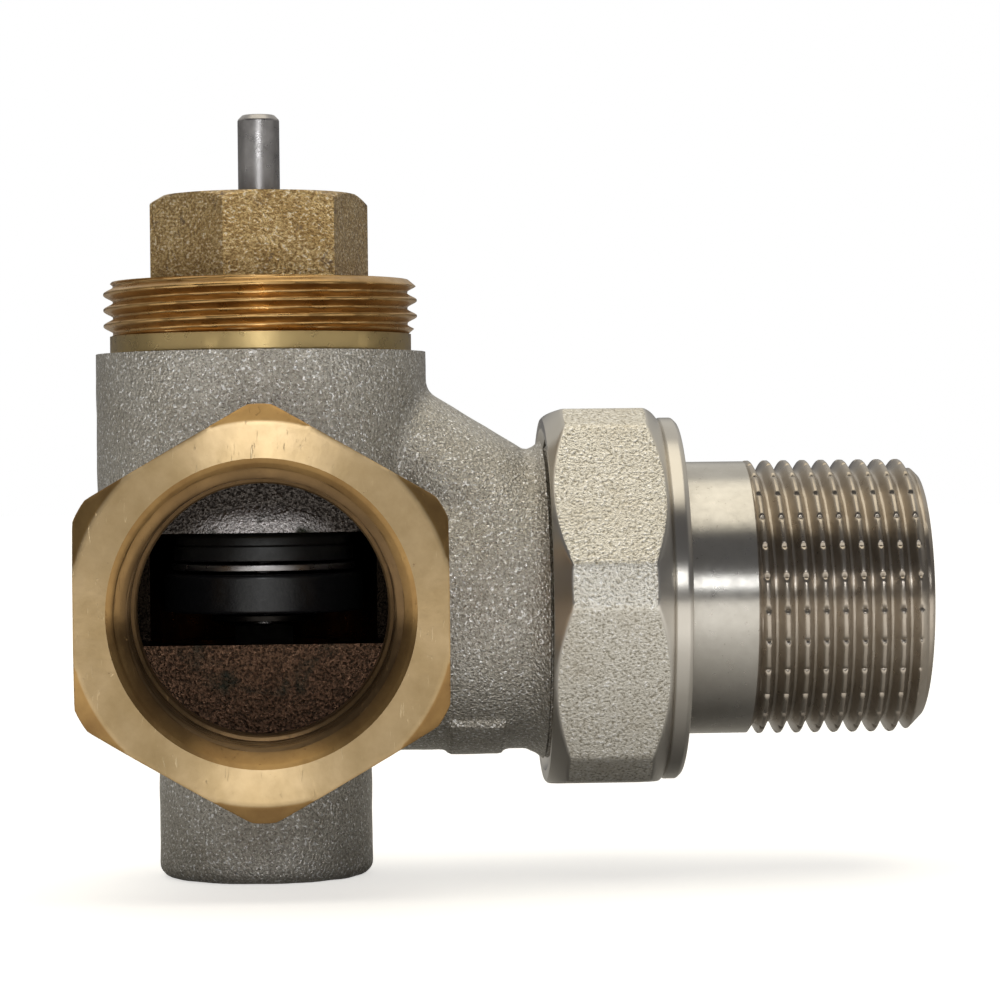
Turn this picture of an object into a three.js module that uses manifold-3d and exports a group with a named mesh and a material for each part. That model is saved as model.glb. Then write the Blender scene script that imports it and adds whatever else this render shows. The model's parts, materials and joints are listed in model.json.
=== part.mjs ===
// A DN 20 double-angle thermostatic radiator valve without its head, as separate solids.
// Millimetres. The origin is where the three port axes cross: +Z runs up the spindle to the
// bonnet, -Y runs out of the inlet, and +X runs out of the union to the radiator.
import * as THREE from "three";
import { ConvexGeometry } from "three/addons/geometries/ConvexGeometry.js";
import { mergeVertices } from "three/addons/utils/BufferGeometryUtils.js";
import Module from "manifold-3d";

const wasm = await Module();
wasm.setup();

// ---------------------------------------------------------------- driving dimensions

const GAP = 0.3; // clearance that every piece keeps to its neighbours
const PAST = 1; // how far a cutter runs past the face that it opens
const BROAD = 24; // facets round the ports and casings, and along each turn of a thread
const SLIM = 16; // facets round the spindle and what is on it
const WELD = 1e-4; // distance within which two corners of a mesh are the same corner

// Standard threads, as radii
const HEAD_THREAD = { crest: 15, root: 14.08, pitch: 1.5 }; // M30 x 1.5
const PIPE_THREAD = { crest: 13.22, root: 12.06, pitch: 1.814 }; // G 3/4
const THREAD_FOOT_HALF = 0.47; // half the width of a ridge at its foot, as a share of the pitch
const THREAD_CREST_HALF = 0.1; // the same at its crest
const THREAD_FOOT_DEPTH = 0.1; // how far its foot sinks below the root, as a share of its height
const THREAD_RUN_OUT = 1.2; // length over which a thread fades out, as a share of its height

// Casting
const CASING_RADIUS = 15.8;
const CASING_TOP = 23.95;
const CASING_SHOULDER = -8.5;
const BOSS_RADIUS = 10.2;
const BOSS_TOP = -14.5;
const BOSS_BOTTOM = -26.05;
const BOSS_ROUNDING = 1.5;
const NECK_RADIUS = 16;
const NECK_FACE = 16.6;
const BRANCH_RADIUS = 14.3;
const BRANCH_END = 25.4;
const SPIGOT_RADIUS = 15.6;
const SPIGOT_START = 26.4;
const SPIGOT_FACE = 33.9;
const RIDGE_RADIUS = 8;
const RIDGE_TOP = 23.8;
const RIDGE_START = 10;
const PAD = { start: 17.6, end: 22.5, halfWidth: 9.2, radius: 14.8 };

// Waterways in the casting
const SEAT_TOP = -3.6;
const SEAT_FLOOR = -5;
const SEAT_UNDERSIDE = -7.5;
const SEAT_BORE = 7.2;
const SEAT_RIM = 8.6;
const LOWER_CHAMBER_RADIUS = 8.2;
const LOWER_CHAMBER_FLOOR = -23;
const UPPER_CHAMBER_RADIUS = 11;
const BONNET_BORE_FLOOR = 15.6;
const BONNET_BORE_RADIUS = 13.2;
const PARTITION_FACE = 12.4;
const WINDOW = { halfWidth: 12, bottom: -3.4, top: 7, depth: 10.4 };
const NECK_BORE = 14.3; // takes the inlet socket's spigot
const BRANCH_BORE = 11;
const BRANCH_BORE_START = 14.5;
const DUCT = { halfWidth: 7, halfHeight: 2.75, centre: -10.25, end: 16 };

// Inlet socket, measured outwards from the valve axis
const SOCKET_FLATS = 33.6;
const SOCKET_CORNER_RADIUS = 18.8;
const SOCKET_FACE = 26;
const SOCKET_FACE_RADIUS = 17.25;
const SOCKET_BACK = 17.8;
const SOCKET_LIP = 16;
const SOCKET_BORE = 11.6;
const SOCKET_ENTRY_RADIUS = 13.77;
const SOCKET_SPIGOT_RADIUS = NECK_BORE - GAP;

// Bonnet
const BONNET_FLATS = 18.4;
const BONNET_TURN = THREE.MathUtils.degToRad(-78.4); // the way that one flat of its hexagon faces
const BONNET_TOP = 39.05;
const BONNET_TOP_RADIUS = 9.25;
const HEAD_FACE = 30.85;
const FLANGE_BOTTOM = 25.65;
const COLLAR_RADIUS = 14.4;
const NOSE_RADIUS = 10.2;
const NOSE_END = 7.6;
const SPRING_BORE = 7.4;
const SPRING_BORE_TOP = 27.2;
const GLAND_BORE = 6.3;
const GLAND_FLOOR = 28.9;
const CLIP_GROOVE = { radius: 8.9, bottom: 8.1, top: 9.3 };
const BUSH_BORE = 8.2;
const BUSH_STEP = 11.5;
const BONNET_SEAL_GROOVE = { radius: 11.5, bottom: 20.6, top: 22.9 };

// Gland, pin and spindle
const GLAND_TOP = 38.75;
const GLAND_RECESS = { radius: 3.7, top: 32.6 };
const GLAND_SEAL_GROOVE = { radius: 5, bottom: 33.4, top: 34.8 };
const GLAND_WASHER = { bottom: 30.2, top: 30.8 };
const GLAND_KEYWAY = { halfWidth: 0.8, depth: 1 };
const PIN_RADIUS = 2;
const PIN_TOP = 46.8;
const PIN_CHAMFER = 0.5;
const PIN_COLLAR_RADIUS = 2.7;
const SPINDLE_TOP = 27.3;
const SPINDLE_SHOULDER = 7.1;
const SPINDLE_COLLAR = { radius: 3.2, top: 7.8 };
const STUD_RADIUS = 1.6;
const STUD_HOLE = STUD_RADIUS + GAP;
const STUD_END = -4.7;
const SPINDLE_CLIP = { bore: 1.7, radius: 3.6, slotHalfWidth: 1.2, bottom: 26.15, top: 26.65 };
const SPINDLE_GROOVE_RADIUS = 1.5;
const BUSH_CLIP = { bore: 6.9, slotHalfWidth: 2.5 };

// Return spring
const SPRING = { meanRadius: 5.5, wireRadius: 0.6, turns: 6, bottom: 11.5, top: 24.3 };
const SPRING_STEPS_PER_TURN = 12;
const SPRING_WIRE_SIDES = 6;
const SPRING_FLAT_SHARE = 0.35; // how far the rise of the coil is flattened at its two ends
const COIL_PILOT_RADIUS = SPRING.meanRadius - SPRING.wireRadius - GAP; // fits inside the coil
const BUSH_PILOT_HEIGHT = 2;
const CUP_PILOT_DEPTH = 1.8;

// Valve disc
const HOLDER_RADIUS = 8.6;
const DISC_RADIUS = 9.5;
const DISC_BOTTOM = -0.7;
const DISC_TOP = 3;
const DISC_CHAMFER = 0.4;
const BACKING = { radius: 8.75, bottom: DISC_TOP + GAP, top: 3.9 };
const HOLDER_BOTTOM = BACKING.top + GAP;
const HOLDER_TOP = SPINDLE_SHOULDER - GAP;
const DISC_WASHER = { radius: 5, bottom: -1.6, top: DISC_BOTTOM - GAP };
const DISC_NUT_FLATS = 5.5;
const DISC_NUT_HEIGHT = 2.2;

// Union nut and tailpiece, measured outwards from the valve axis
const NUT_FLATS = 35.3;
const NUT_CORNER_FLATS = 38.4;
const NUT_TURN = THREE.MathUtils.degToRad(-95.5); // the way that one corner of the nut points
const NUT_BACK = 26.8;
const NUT_HEX_END = 37.8;
const NUT_FACE = 39.7;
const NUT_RING_RADIUS = 17.4;
const NUT_CHAMFER = 1.3;
const NUT_CHAMFER_SLOPE = Math.tan(THREE.MathUtils.degToRad(50));
const NUT_COLLAR_EDGE = 0.5;
const NUT_SHOULDER = 38.2;
const TAIL_COLLAR = { radius: 14.9, back: 35.9, front: 37.9 };
const TAIL_RADIUS = 13.1;
const TAIL_BORE = 10;
const TAIL_THREAD_START = 46.2;
const TAIL_THREAD_END = 61.5;
const TAIL_FACE = 63;
const TAIL_FACE_RADIUS = 11.7;
const LUG = { depth: 1.4, width: 3, start: 50, end: 58 };
const UNION_SEAL = { bore: 11.3, radius: 14.6 };

// ---------------------------------------------------------------- shaping

// A manifold solid from a closed three.js geometry
function solidOf(geometry) {
  const bare = geometry.clone();
  bare.deleteAttribute("normal");
  bare.deleteAttribute("uv");
  const merged = mergeVertices(bare, WELD);
  const mesh = new wasm.Mesh({
    numProp: 3,
    vertProperties: merged.getAttribute("position").array,
    triVerts: new Uint32Array(merged.index.array),
  });
  return new wasm.Manifold(mesh);
}

function geometryOf(solid) {
  const { vertProperties, numProp, triVerts } = solid.getMesh();
  const geometry = new THREE.BufferGeometry();
  geometry.setAttribute("position", new THREE.BufferAttribute(vertProperties, numProp));
  geometry.setIndex(new THREE.BufferAttribute(triVerts, 1));
  geometry.computeVertexNormals();
  return geometry;
}

function joined(first, ...others) {
  return geometryOf(others.reduce((sum, next) => sum.add(solidOf(next)), solidOf(first)));
}

function cutBy(first, ...cutters) {
  return geometryOf(cutters.reduce((rest, next) => rest.subtract(solidOf(next)), solidOf(first)));
}

function sharedBy(first, ...others) {
  return geometryOf(others.reduce((rest, next) => rest.intersect(solidOf(next)), solidOf(first)));
}

// A solid turned about +Z from the [radius, height] corners of its half section
function turned(corners, facets = BROAD) {
  const outline = corners.map(([radius, height]) => new THREE.Vector2(radius, height));
  if (THREE.ShapeUtils.area(outline) < 0) outline.reverse();
  outline.push(outline[0].clone());
  return new THREE.LatheGeometry(outline, facets).rotateX(Math.PI / 2);
}

function rod(radius, bottom, top, facets = BROAD) {
  return turned([[0, bottom], [radius, bottom], [radius, top], [0, top]], facets);
}

function ring(bore, radius, bottom, top, facets = BROAD) {
  return turned([[bore, bottom], [radius, bottom], [radius, top], [bore, top]], facets);
}

// A ring with a round section, such as an O-ring
function roundRing(meanRadius, sectionRadius, height, facets = BROAD) {
  const corners = arc(meanRadius, height, sectionRadius, 0, 2 * Math.PI, 8);
  return turned(corners.slice(1), facets);
}

// Points along an arc in a half section, from one angle to another in equal steps
function arc(centreRadius, centreHeight, radius, from, to, steps = 4) {
  return Array.from({ length: steps + 1 }, (_, i) => {
    const angle = from + ((to - from) * i) / steps;
    return [centreRadius + radius * Math.cos(angle), centreHeight + radius * Math.sin(angle)];
  });
}

function block(x0, x1, y0, y1, z0, z1) {
  const box = new THREE.BoxGeometry(x1 - x0, y1 - y0, z1 - z0);
  return box.translate((x0 + x1) / 2, (y0 + y1) / 2, (z0 + z1) / 2);
}

// A hexagonal bar along +Z with one flat facing the given direction
function hexagon(acrossFlats, bottom, top, flatDirection = 0) {
  const cornerRadius = acrossFlats / Math.sqrt(3);
  const bar = new THREE.CylinderGeometry(cornerRadius, cornerRadius, top - bottom, 6);
  bar.rotateX(Math.PI / 2);
  bar.rotateZ(flatDirection);
  return bar.translate(0, 0, (bottom + top) / 2);
}

// A right-hand helical ridge of thread section about +Z, from just below the root to the crest.
// Added to a core it makes a male thread, and cut from a bore it makes a female one.
function threadRidge(thread, bottom, top) {
  const { root, crest, pitch } = thread;
  const footHalf = THREAD_FOOT_HALF * pitch;
  const crestHalf = THREAD_CREST_HALF * pitch;
  const foot = root - THREAD_FOOT_DEPTH * (crest - root);
  const section = new THREE.Shape();
  section.moveTo(foot, -footHalf);
  section.lineTo(crest, -crestHalf);
  section.lineTo(crest, crestHalf);
  section.lineTo(foot, footHalf);
  const steps = Math.ceil((BROAD * (top - bottom)) / pitch);
  const depth = steps / BROAD;
  const bar = new THREE.ExtrudeGeometry(section, { depth, steps, bevelEnabled: false });
  const corners = bar.getAttribute("position");
  for (let i = 0; i < corners.count; i++) {
    const radius = corners.getX(i);
    const angle = 2 * Math.PI * corners.getZ(i);
    const height = bottom + pitch * corners.getZ(i) - corners.getY(i);
    corners.setXYZ(i, radius * Math.cos(angle), radius * Math.sin(angle), height);
  }
  return bar;
}

// Turning a geometry made about +Z to run out of the inlet (-Y) or out of the union (+X)
const toInlet = (geometry) => geometry.rotateX(Math.PI / 2);
const toOutlet = (geometry) => geometry.rotateY(Math.PI / 2);

// ---------------------------------------------------------------- casting

function valveBody() {
  const boss = arc(
    BOSS_RADIUS - BOSS_ROUNDING, BOSS_BOTTOM + BOSS_ROUNDING, BOSS_ROUNDING, -Math.PI / 2, 0,
  );
  const casing = turned([
    [0, BOSS_BOTTOM], ...boss, [BOSS_RADIUS, BOSS_TOP], [CASING_RADIUS, CASING_SHOULDER],
    [CASING_RADIUS, CASING_TOP - GAP], [CASING_RADIUS - GAP, CASING_TOP], [0, CASING_TOP],
  ]);
  const outside = joined(casing, toInlet(rod(NECK_RADIUS, 0, NECK_FACE)), branch(), gusset(), pad());
  return cutBy(outside, ...waterways());
}

// The outlet branch flares out to the spigot that the union nut screws onto
function branch() {
  return toOutlet(turned([
    [0, 0], [BRANCH_RADIUS, 0], [BRANCH_RADIUS, BRANCH_END], [SPIGOT_RADIUS, SPIGOT_START],
    [SPIGOT_RADIUS, SPIGOT_FACE - 2 * GAP], [SPIGOT_RADIUS - 2 * GAP, SPIGOT_FACE], [0, SPIGOT_FACE],
  ]));
}

// The rounded web that slopes from the top of the casing down to the end of the branch
function gusset() {
  const corners = [];
  for (let i = 0; i < BROAD; i++) {
    const angle = (2 * Math.PI * i) / BROAD;
    const across = Math.cos(angle);
    const up = Math.sin(angle);
    const ridgeCentre = RIDGE_TOP - RIDGE_RADIUS;
    corners.push(new THREE.Vector3(BRANCH_END, BRANCH_RADIUS * across, BRANCH_RADIUS * up));
    corners.push(new THREE.Vector3(RIDGE_START, RIDGE_RADIUS * across, ridgeCentre + RIDGE_RADIUS * up));
  }
  return new ConvexGeometry(corners);
}

// A low raised pad that follows the underside of the branch
function pad() {
  const { start, end, halfWidth, radius } = PAD;
  const below = block(start - PAST, end + PAST, -halfWidth, halfWidth, -radius - PAST, 0);
  return sharedBy(toOutlet(rod(radius, start, end)), below);
}

// The inlet opens through a window into the upper chamber, the seat joins that to the lower
// chamber, and the duct under the partition leads from there to the branch
function waterways() {
  const axialBore = turned([
    [0, LOWER_CHAMBER_FLOOR], [LOWER_CHAMBER_RADIUS, LOWER_CHAMBER_FLOOR],
    [LOWER_CHAMBER_RADIUS, SEAT_UNDERSIDE], [SEAT_BORE, SEAT_UNDERSIDE],
    [SEAT_BORE, SEAT_TOP], [SEAT_RIM, SEAT_TOP], [SEAT_RIM, SEAT_FLOOR],
    [UPPER_CHAMBER_RADIUS, SEAT_FLOOR], [UPPER_CHAMBER_RADIUS, BONNET_BORE_FLOOR],
    [BONNET_BORE_RADIUS, BONNET_BORE_FLOOR], [BONNET_BORE_RADIUS, CASING_TOP + PAST],
    [0, CASING_TOP + PAST],
  ]);
  const socketBore = toInlet(rod(NECK_BORE, PARTITION_FACE, NECK_FACE + PAST));
  const window = block(
    -WINDOW.halfWidth, WINDOW.halfWidth, -PARTITION_FACE - GAP, WINDOW.depth - PARTITION_FACE,
    WINDOW.bottom, WINDOW.top,
  );
  const branchBore = toOutlet(rod(BRANCH_BORE, BRANCH_BORE_START, SPIGOT_FACE + PAST));
  const duct = rod(1, 0, DUCT.end);
  duct.scale(DUCT.halfHeight, DUCT.halfWidth, 1);
  toOutlet(duct).translate(0, 0, DUCT.centre);
  return [axialBore, socketBore, window, branchBore, duct];
}

// ---------------------------------------------------------------- inlet

function inletSocket() {
  const rimDrop = (SOCKET_CORNER_RADIUS - SOCKET_FACE_RADIUS) / Math.sqrt(3);
  const trim = turned([
    [0, SOCKET_BACK], [SOCKET_FACE_RADIUS, SOCKET_BACK],
    [SOCKET_CORNER_RADIUS, SOCKET_BACK + rimDrop], [SOCKET_CORNER_RADIUS, SOCKET_FACE - rimDrop],
    [SOCKET_FACE_RADIUS, SOCKET_FACE], [0, SOCKET_FACE],
  ]);
  const head = sharedBy(hexagon(SOCKET_FLATS, SOCKET_BACK, SOCKET_FACE), trim);
  const spigot = rod(SOCKET_SPIGOT_RADIUS, PARTITION_FACE + GAP, SOCKET_BACK + PAST);
  const entryDepth = SOCKET_ENTRY_RADIUS - PIPE_THREAD.root;
  const bore = turned([
    [0, PARTITION_FACE - PAST], [SOCKET_BORE, PARTITION_FACE - PAST], [SOCKET_BORE, SOCKET_LIP],
    [PIPE_THREAD.root, SOCKET_LIP], [PIPE_THREAD.root, SOCKET_FACE - entryDepth],
    [SOCKET_ENTRY_RADIUS, SOCKET_FACE], [SOCKET_ENTRY_RADIUS, SOCKET_FACE + PAST],
    [0, SOCKET_FACE + PAST],
  ]);
  const groove = threadRidge(PIPE_THREAD, SOCKET_LIP + PIPE_THREAD.pitch, SOCKET_FACE + PAST);
  return cutBy(joined(head, spigot), bore, groove);
}

function inletGasket() {
  return ring(NECK_BORE, NECK_RADIUS, NECK_FACE + GAP, SOCKET_BACK - GAP);
}

// ---------------------------------------------------------------- bonnet and gland

function bonnet() {
  const chamfer = HEAD_THREAD.crest - HEAD_THREAD.root;
  const flangeTrim = turned([
    [0, FLANGE_BOTTOM], [HEAD_THREAD.root, FLANGE_BOTTOM],
    [HEAD_THREAD.crest + chamfer, FLANGE_BOTTOM + chamfer],
    [HEAD_THREAD.crest + chamfer, HEAD_FACE - chamfer],
    [HEAD_THREAD.root, HEAD_FACE], [0, HEAD_FACE],
  ]);
  const thread = threadRidge(HEAD_THREAD, FLANGE_BOTTOM - PAST, HEAD_FACE + PAST);
  const flange = sharedBy(joined(rod(HEAD_THREAD.root, FLANGE_BOTTOM, HEAD_FACE), thread), flangeTrim);
  const hexRadius = BONNET_FLATS / Math.sqrt(3);
  const hexDrop = (hexRadius - BONNET_TOP_RADIUS) / Math.sqrt(3);
  const hexTrim = turned([
    [0, HEAD_FACE - PAST], [hexRadius, HEAD_FACE - PAST], [hexRadius, BONNET_TOP - hexDrop],
    [BONNET_TOP_RADIUS, BONNET_TOP], [0, BONNET_TOP],
  ]);
  const hex = sharedBy(hexagon(BONNET_FLATS, HEAD_FACE - PAST, BONNET_TOP, BONNET_TURN), hexTrim);
  return cutBy(joined(bonnetShank(), flange, hex), bonnetBore());
}

function bonnetShank() {
  const { radius, bottom, top } = BONNET_SEAL_GROOVE;
  const shankRadius = BONNET_BORE_RADIUS - GAP;
  const shankEnd = BONNET_BORE_FLOOR + GAP;
  return turned([
    [0, NOSE_END], [NOSE_RADIUS, NOSE_END], [NOSE_RADIUS, shankEnd], [shankRadius, shankEnd],
    [shankRadius, bottom], [radius, bottom], [radius, top], [shankRadius, top],
    [shankRadius, CASING_TOP + GAP], [COLLAR_RADIUS, CASING_TOP + GAP],
    [COLLAR_RADIUS, FLANGE_BOTTOM], [HEAD_THREAD.root, FLANGE_BOTTOM + GAP],
    [0, FLANGE_BOTTOM + GAP],
  ]);
}

function bonnetBore() {
  return turned([
    [0, NOSE_END - PAST], [BUSH_BORE, NOSE_END - PAST], [BUSH_BORE, CLIP_GROOVE.bottom],
    [CLIP_GROOVE.radius, CLIP_GROOVE.bottom], [CLIP_GROOVE.radius, CLIP_GROOVE.top],
    [BUSH_BORE, CLIP_GROOVE.top], [BUSH_BORE, BUSH_STEP], [SPRING_BORE, BUSH_STEP],
    [SPRING_BORE, SPRING_BORE_TOP], [PIN_COLLAR_RADIUS + GAP, SPRING_BORE_TOP],
    [PIN_COLLAR_RADIUS + GAP, GLAND_FLOOR], [GLAND_BORE, GLAND_FLOOR],
    [GLAND_BORE, BONNET_TOP - GAP], [GLAND_BORE + 2 * GAP, BONNET_TOP + GAP], [0, BONNET_TOP + GAP],
  ]);
}

function bonnetSeal() {
  const section = (BONNET_BORE_RADIUS - BONNET_SEAL_GROOVE.radius) / 2 - GAP / 2;
  const { radius, bottom, top } = BONNET_SEAL_GROOVE;
  return roundRing(radius + GAP / 2 + section, section, (bottom + top) / 2);
}

// The gland screws into the bonnet from above; two notches in its top take the key
function glandCartridge() {
  const outer = GLAND_BORE - GAP;
  const { radius, bottom, top } = GLAND_SEAL_GROOVE;
  const sleeve = turned([
    [GLAND_RECESS.radius, GLAND_FLOOR + GAP], [outer, GLAND_FLOOR + GAP], [outer, bottom],
    [radius, bottom], [radius, top], [outer, top], [outer, GLAND_TOP],
    [PIN_RADIUS + 3 * GAP, GLAND_TOP], [PIN_RADIUS + GAP, GLAND_TOP - 2 * GAP],
    [PIN_RADIUS + GAP, GLAND_RECESS.top], [GLAND_RECESS.radius, GLAND_RECESS.top],
  ], SLIM);
  const { halfWidth, depth } = GLAND_KEYWAY;
  const keyway = block(
    -GLAND_BORE, GLAND_BORE, -halfWidth, halfWidth, GLAND_TOP - depth, GLAND_TOP + PAST,
  );
  return cutBy(sleeve, keyway);
}

function glandOuterSeal() {
  const { radius, bottom, top } = GLAND_SEAL_GROOVE;
  const section = (GLAND_BORE - radius) / 2 - GAP / 2;
  return roundRing(radius + GAP / 2 + section, section, (bottom + top) / 2, SLIM);
}

function glandWasher() {
  const { bottom, top } = GLAND_WASHER;
  return ring(PIN_RADIUS + GAP, GLAND_RECESS.radius - GAP, bottom, top, SLIM);
}

function glandInnerSeal() {
  const section = (GLAND_RECESS.radius - PIN_RADIUS) / 2 - GAP;
  const height = (GLAND_WASHER.top + GLAND_RECESS.top) / 2;
  return roundRing((GLAND_RECESS.radius + PIN_RADIUS) / 2, section, height, SLIM);
}

function guideBush() {
  const outer = BUSH_BORE - GAP;
  const floor = CLIP_GROOVE.top;
  const top = BUSH_STEP - GAP;
  return turned([
    [PIN_RADIUS + GAP, floor], [outer, floor], [outer, top], [COIL_PILOT_RADIUS, top],
    [COIL_PILOT_RADIUS, top + BUSH_PILOT_HEIGHT], [PIN_RADIUS + GAP, top + BUSH_PILOT_HEIGHT],
  ], SLIM);
}

// A flat snap ring with a slot through one side
function snapRing(bore, radius, bottom, top, slotHalfWidth) {
  const slot = block(0, radius + PAST, -slotHalfWidth, slotHalfWidth, bottom - PAST, top + PAST);
  return cutBy(ring(bore, radius, bottom, top, SLIM), slot);
}

function bushClip() {
  const { radius, bottom, top } = CLIP_GROOVE;
  return snapRing(BUSH_CLIP.bore, radius - GAP, bottom + GAP, top - GAP, BUSH_CLIP.slotHalfWidth);
}

// ---------------------------------------------------------------- pin, spindle and valve disc

function pressurePin() {
  return turned([
    [0, SPINDLE_TOP + GAP], [PIN_COLLAR_RADIUS, SPINDLE_TOP + GAP],
    [PIN_COLLAR_RADIUS, GLAND_FLOOR], [PIN_RADIUS, GLAND_FLOOR],
    [PIN_RADIUS, PIN_TOP - PIN_CHAMFER], [PIN_RADIUS - PIN_CHAMFER, PIN_TOP], [0, PIN_TOP],
  ], SLIM);
}

function valveSpindle() {
  const grooveBottom = SPINDLE_CLIP.bottom - GAP / 2;
  const grooveTop = SPINDLE_CLIP.top + GAP / 2;
  return turned([
    [0, STUD_END], [STUD_RADIUS - GAP, STUD_END], [STUD_RADIUS, STUD_END + GAP],
    [STUD_RADIUS, SPINDLE_SHOULDER], [SPINDLE_COLLAR.radius, SPINDLE_SHOULDER],
    [SPINDLE_COLLAR.radius, SPINDLE_COLLAR.top], [PIN_RADIUS, SPINDLE_COLLAR.top],
    [PIN_RADIUS, grooveBottom], [SPINDLE_GROOVE_RADIUS, grooveBottom],
    [SPINDLE_GROOVE_RADIUS, grooveTop], [PIN_RADIUS, grooveTop], [PIN_RADIUS, SPINDLE_TOP],
    [0, SPINDLE_TOP],
  ], SLIM);
}

function springCup() {
  const top = SPINDLE_CLIP.bottom - GAP;
  const bottom = SPRING.top + GAP;
  const outer = SPRING_BORE - 2 * GAP;
  return turned([
    [PIN_RADIUS + GAP, bottom - CUP_PILOT_DEPTH], [COIL_PILOT_RADIUS, bottom - CUP_PILOT_DEPTH],
    [COIL_PILOT_RADIUS, bottom], [outer, bottom], [outer, top], [PIN_RADIUS + GAP, top],
  ], SLIM);
}

function spindleClip() {
  const { bore, radius, bottom, top, slotHalfWidth } = SPINDLE_CLIP;
  return snapRing(bore, radius, bottom, top, slotHalfWidth);
}

// The coil's centre line: a helix whose first and last turns lie nearly flat
class CoilLine extends THREE.Curve {
  getPoint(t, target = new THREE.Vector3()) {
    const { meanRadius, wireRadius, turns, bottom, top } = SPRING;
    const angle = 2 * Math.PI * turns * t;
    const rise = THREE.MathUtils.lerp(t, THREE.MathUtils.smoothstep(t, 0, 1), SPRING_FLAT_SHARE);
    const height = THREE.MathUtils.lerp(bottom + wireRadius, top - wireRadius, rise);
    return target.set(meanRadius * Math.cos(angle), meanRadius * Math.sin(angle), height);
  }
}

function returnSpring() {
  const wire = new THREE.Shape();
  for (let i = 0; i < SPRING_WIRE_SIDES; i++) {
    const angle = (2 * Math.PI * i) / SPRING_WIRE_SIDES;
    const x = SPRING.wireRadius * Math.cos(angle);
    const y = SPRING.wireRadius * Math.sin(angle);
    if (i === 0) wire.moveTo(x, y);
    else wire.lineTo(x, y);
  }
  return new THREE.ExtrudeGeometry(wire, {
    extrudePath: new CoilLine(),
    steps: SPRING.turns * SPRING_STEPS_PER_TURN,
    bevelEnabled: false,
  });
}

function discHolder() {
  return turned([
    [STUD_HOLE, HOLDER_BOTTOM], [HOLDER_RADIUS, HOLDER_BOTTOM],
    [HOLDER_RADIUS, HOLDER_TOP - DISC_CHAMFER], [HOLDER_RADIUS - DISC_CHAMFER, HOLDER_TOP],
    [STUD_HOLE, HOLDER_TOP],
  ]);
}

function discBacking() {
  return ring(STUD_HOLE, BACKING.radius, BACKING.bottom, BACKING.top);
}

function sealDisc() {
  return turned([
    [STUD_HOLE, DISC_BOTTOM], [DISC_RADIUS - DISC_CHAMFER, DISC_BOTTOM],
    [DISC_RADIUS, DISC_BOTTOM + DISC_CHAMFER], [DISC_RADIUS, DISC_TOP - DISC_CHAMFER],
    [DISC_RADIUS - DISC_CHAMFER, DISC_TOP], [STUD_HOLE, DISC_TOP],
  ]);
}

function discWasher() {
  return ring(STUD_HOLE, DISC_WASHER.radius, DISC_WASHER.bottom, DISC_WASHER.top, SLIM);
}

function discNut() {
  const top = DISC_WASHER.bottom - GAP;
  const bottom = top - DISC_NUT_HEIGHT;
  const hole = rod(STUD_HOLE, bottom - PAST, top + PAST, SLIM);
  return cutBy(hexagon(DISC_NUT_FLATS, bottom, top), hole);
}

// ---------------------------------------------------------------- union

function unionNut() {
  const rim = NUT_RING_RADIUS + NUT_CHAMFER * NUT_CHAMFER_SLOPE;
  const trim = turned([
    [0, NUT_BACK], [NUT_RING_RADIUS, NUT_BACK], [rim, NUT_BACK + NUT_CHAMFER],
    [NUT_CORNER_FLATS, NUT_BACK + NUT_CHAMFER], [NUT_CORNER_FLATS, NUT_HEX_END - NUT_CHAMFER],
    [rim, NUT_HEX_END - NUT_CHAMFER], [NUT_RING_RADIUS, NUT_HEX_END], [0, NUT_HEX_END],
  ]);
  const hex = sharedBy(
    hexagon(NUT_FLATS, NUT_BACK, NUT_HEX_END, NUT_TURN + Math.PI / 6),
    hexagon(NUT_CORNER_FLATS, NUT_BACK, NUT_HEX_END, NUT_TURN),
    trim,
  );
  const edge = arc(
    NUT_RING_RADIUS - NUT_COLLAR_EDGE, NUT_FACE - NUT_COLLAR_EDGE, NUT_COLLAR_EDGE, 0, Math.PI / 2,
  );
  const collar = turned([
    [0, NUT_HEX_END - GAP], [NUT_RING_RADIUS, NUT_HEX_END - GAP], ...edge, [0, NUT_FACE],
  ]);
  const threadBore = SPIGOT_RADIUS + GAP;
  const bore = turned([
    [0, NUT_BACK - PAST], [threadBore + PAST, NUT_BACK - PAST], [threadBore, NUT_BACK + GAP],
    [threadBore, NUT_SHOULDER], [TAIL_RADIUS + GAP, NUT_SHOULDER],
    [TAIL_RADIUS + GAP, NUT_FACE - 2 * GAP], [TAIL_RADIUS + 3 * GAP, NUT_FACE],
    [TAIL_RADIUS + 3 * GAP, NUT_FACE + PAST], [0, NUT_FACE + PAST],
  ]);
  return cutBy(joined(hex, collar), bore);
}

function unionSeal() {
  return ring(UNION_SEAL.bore, UNION_SEAL.radius, SPIGOT_FACE + GAP, TAIL_COLLAR.back - GAP);
}

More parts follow.
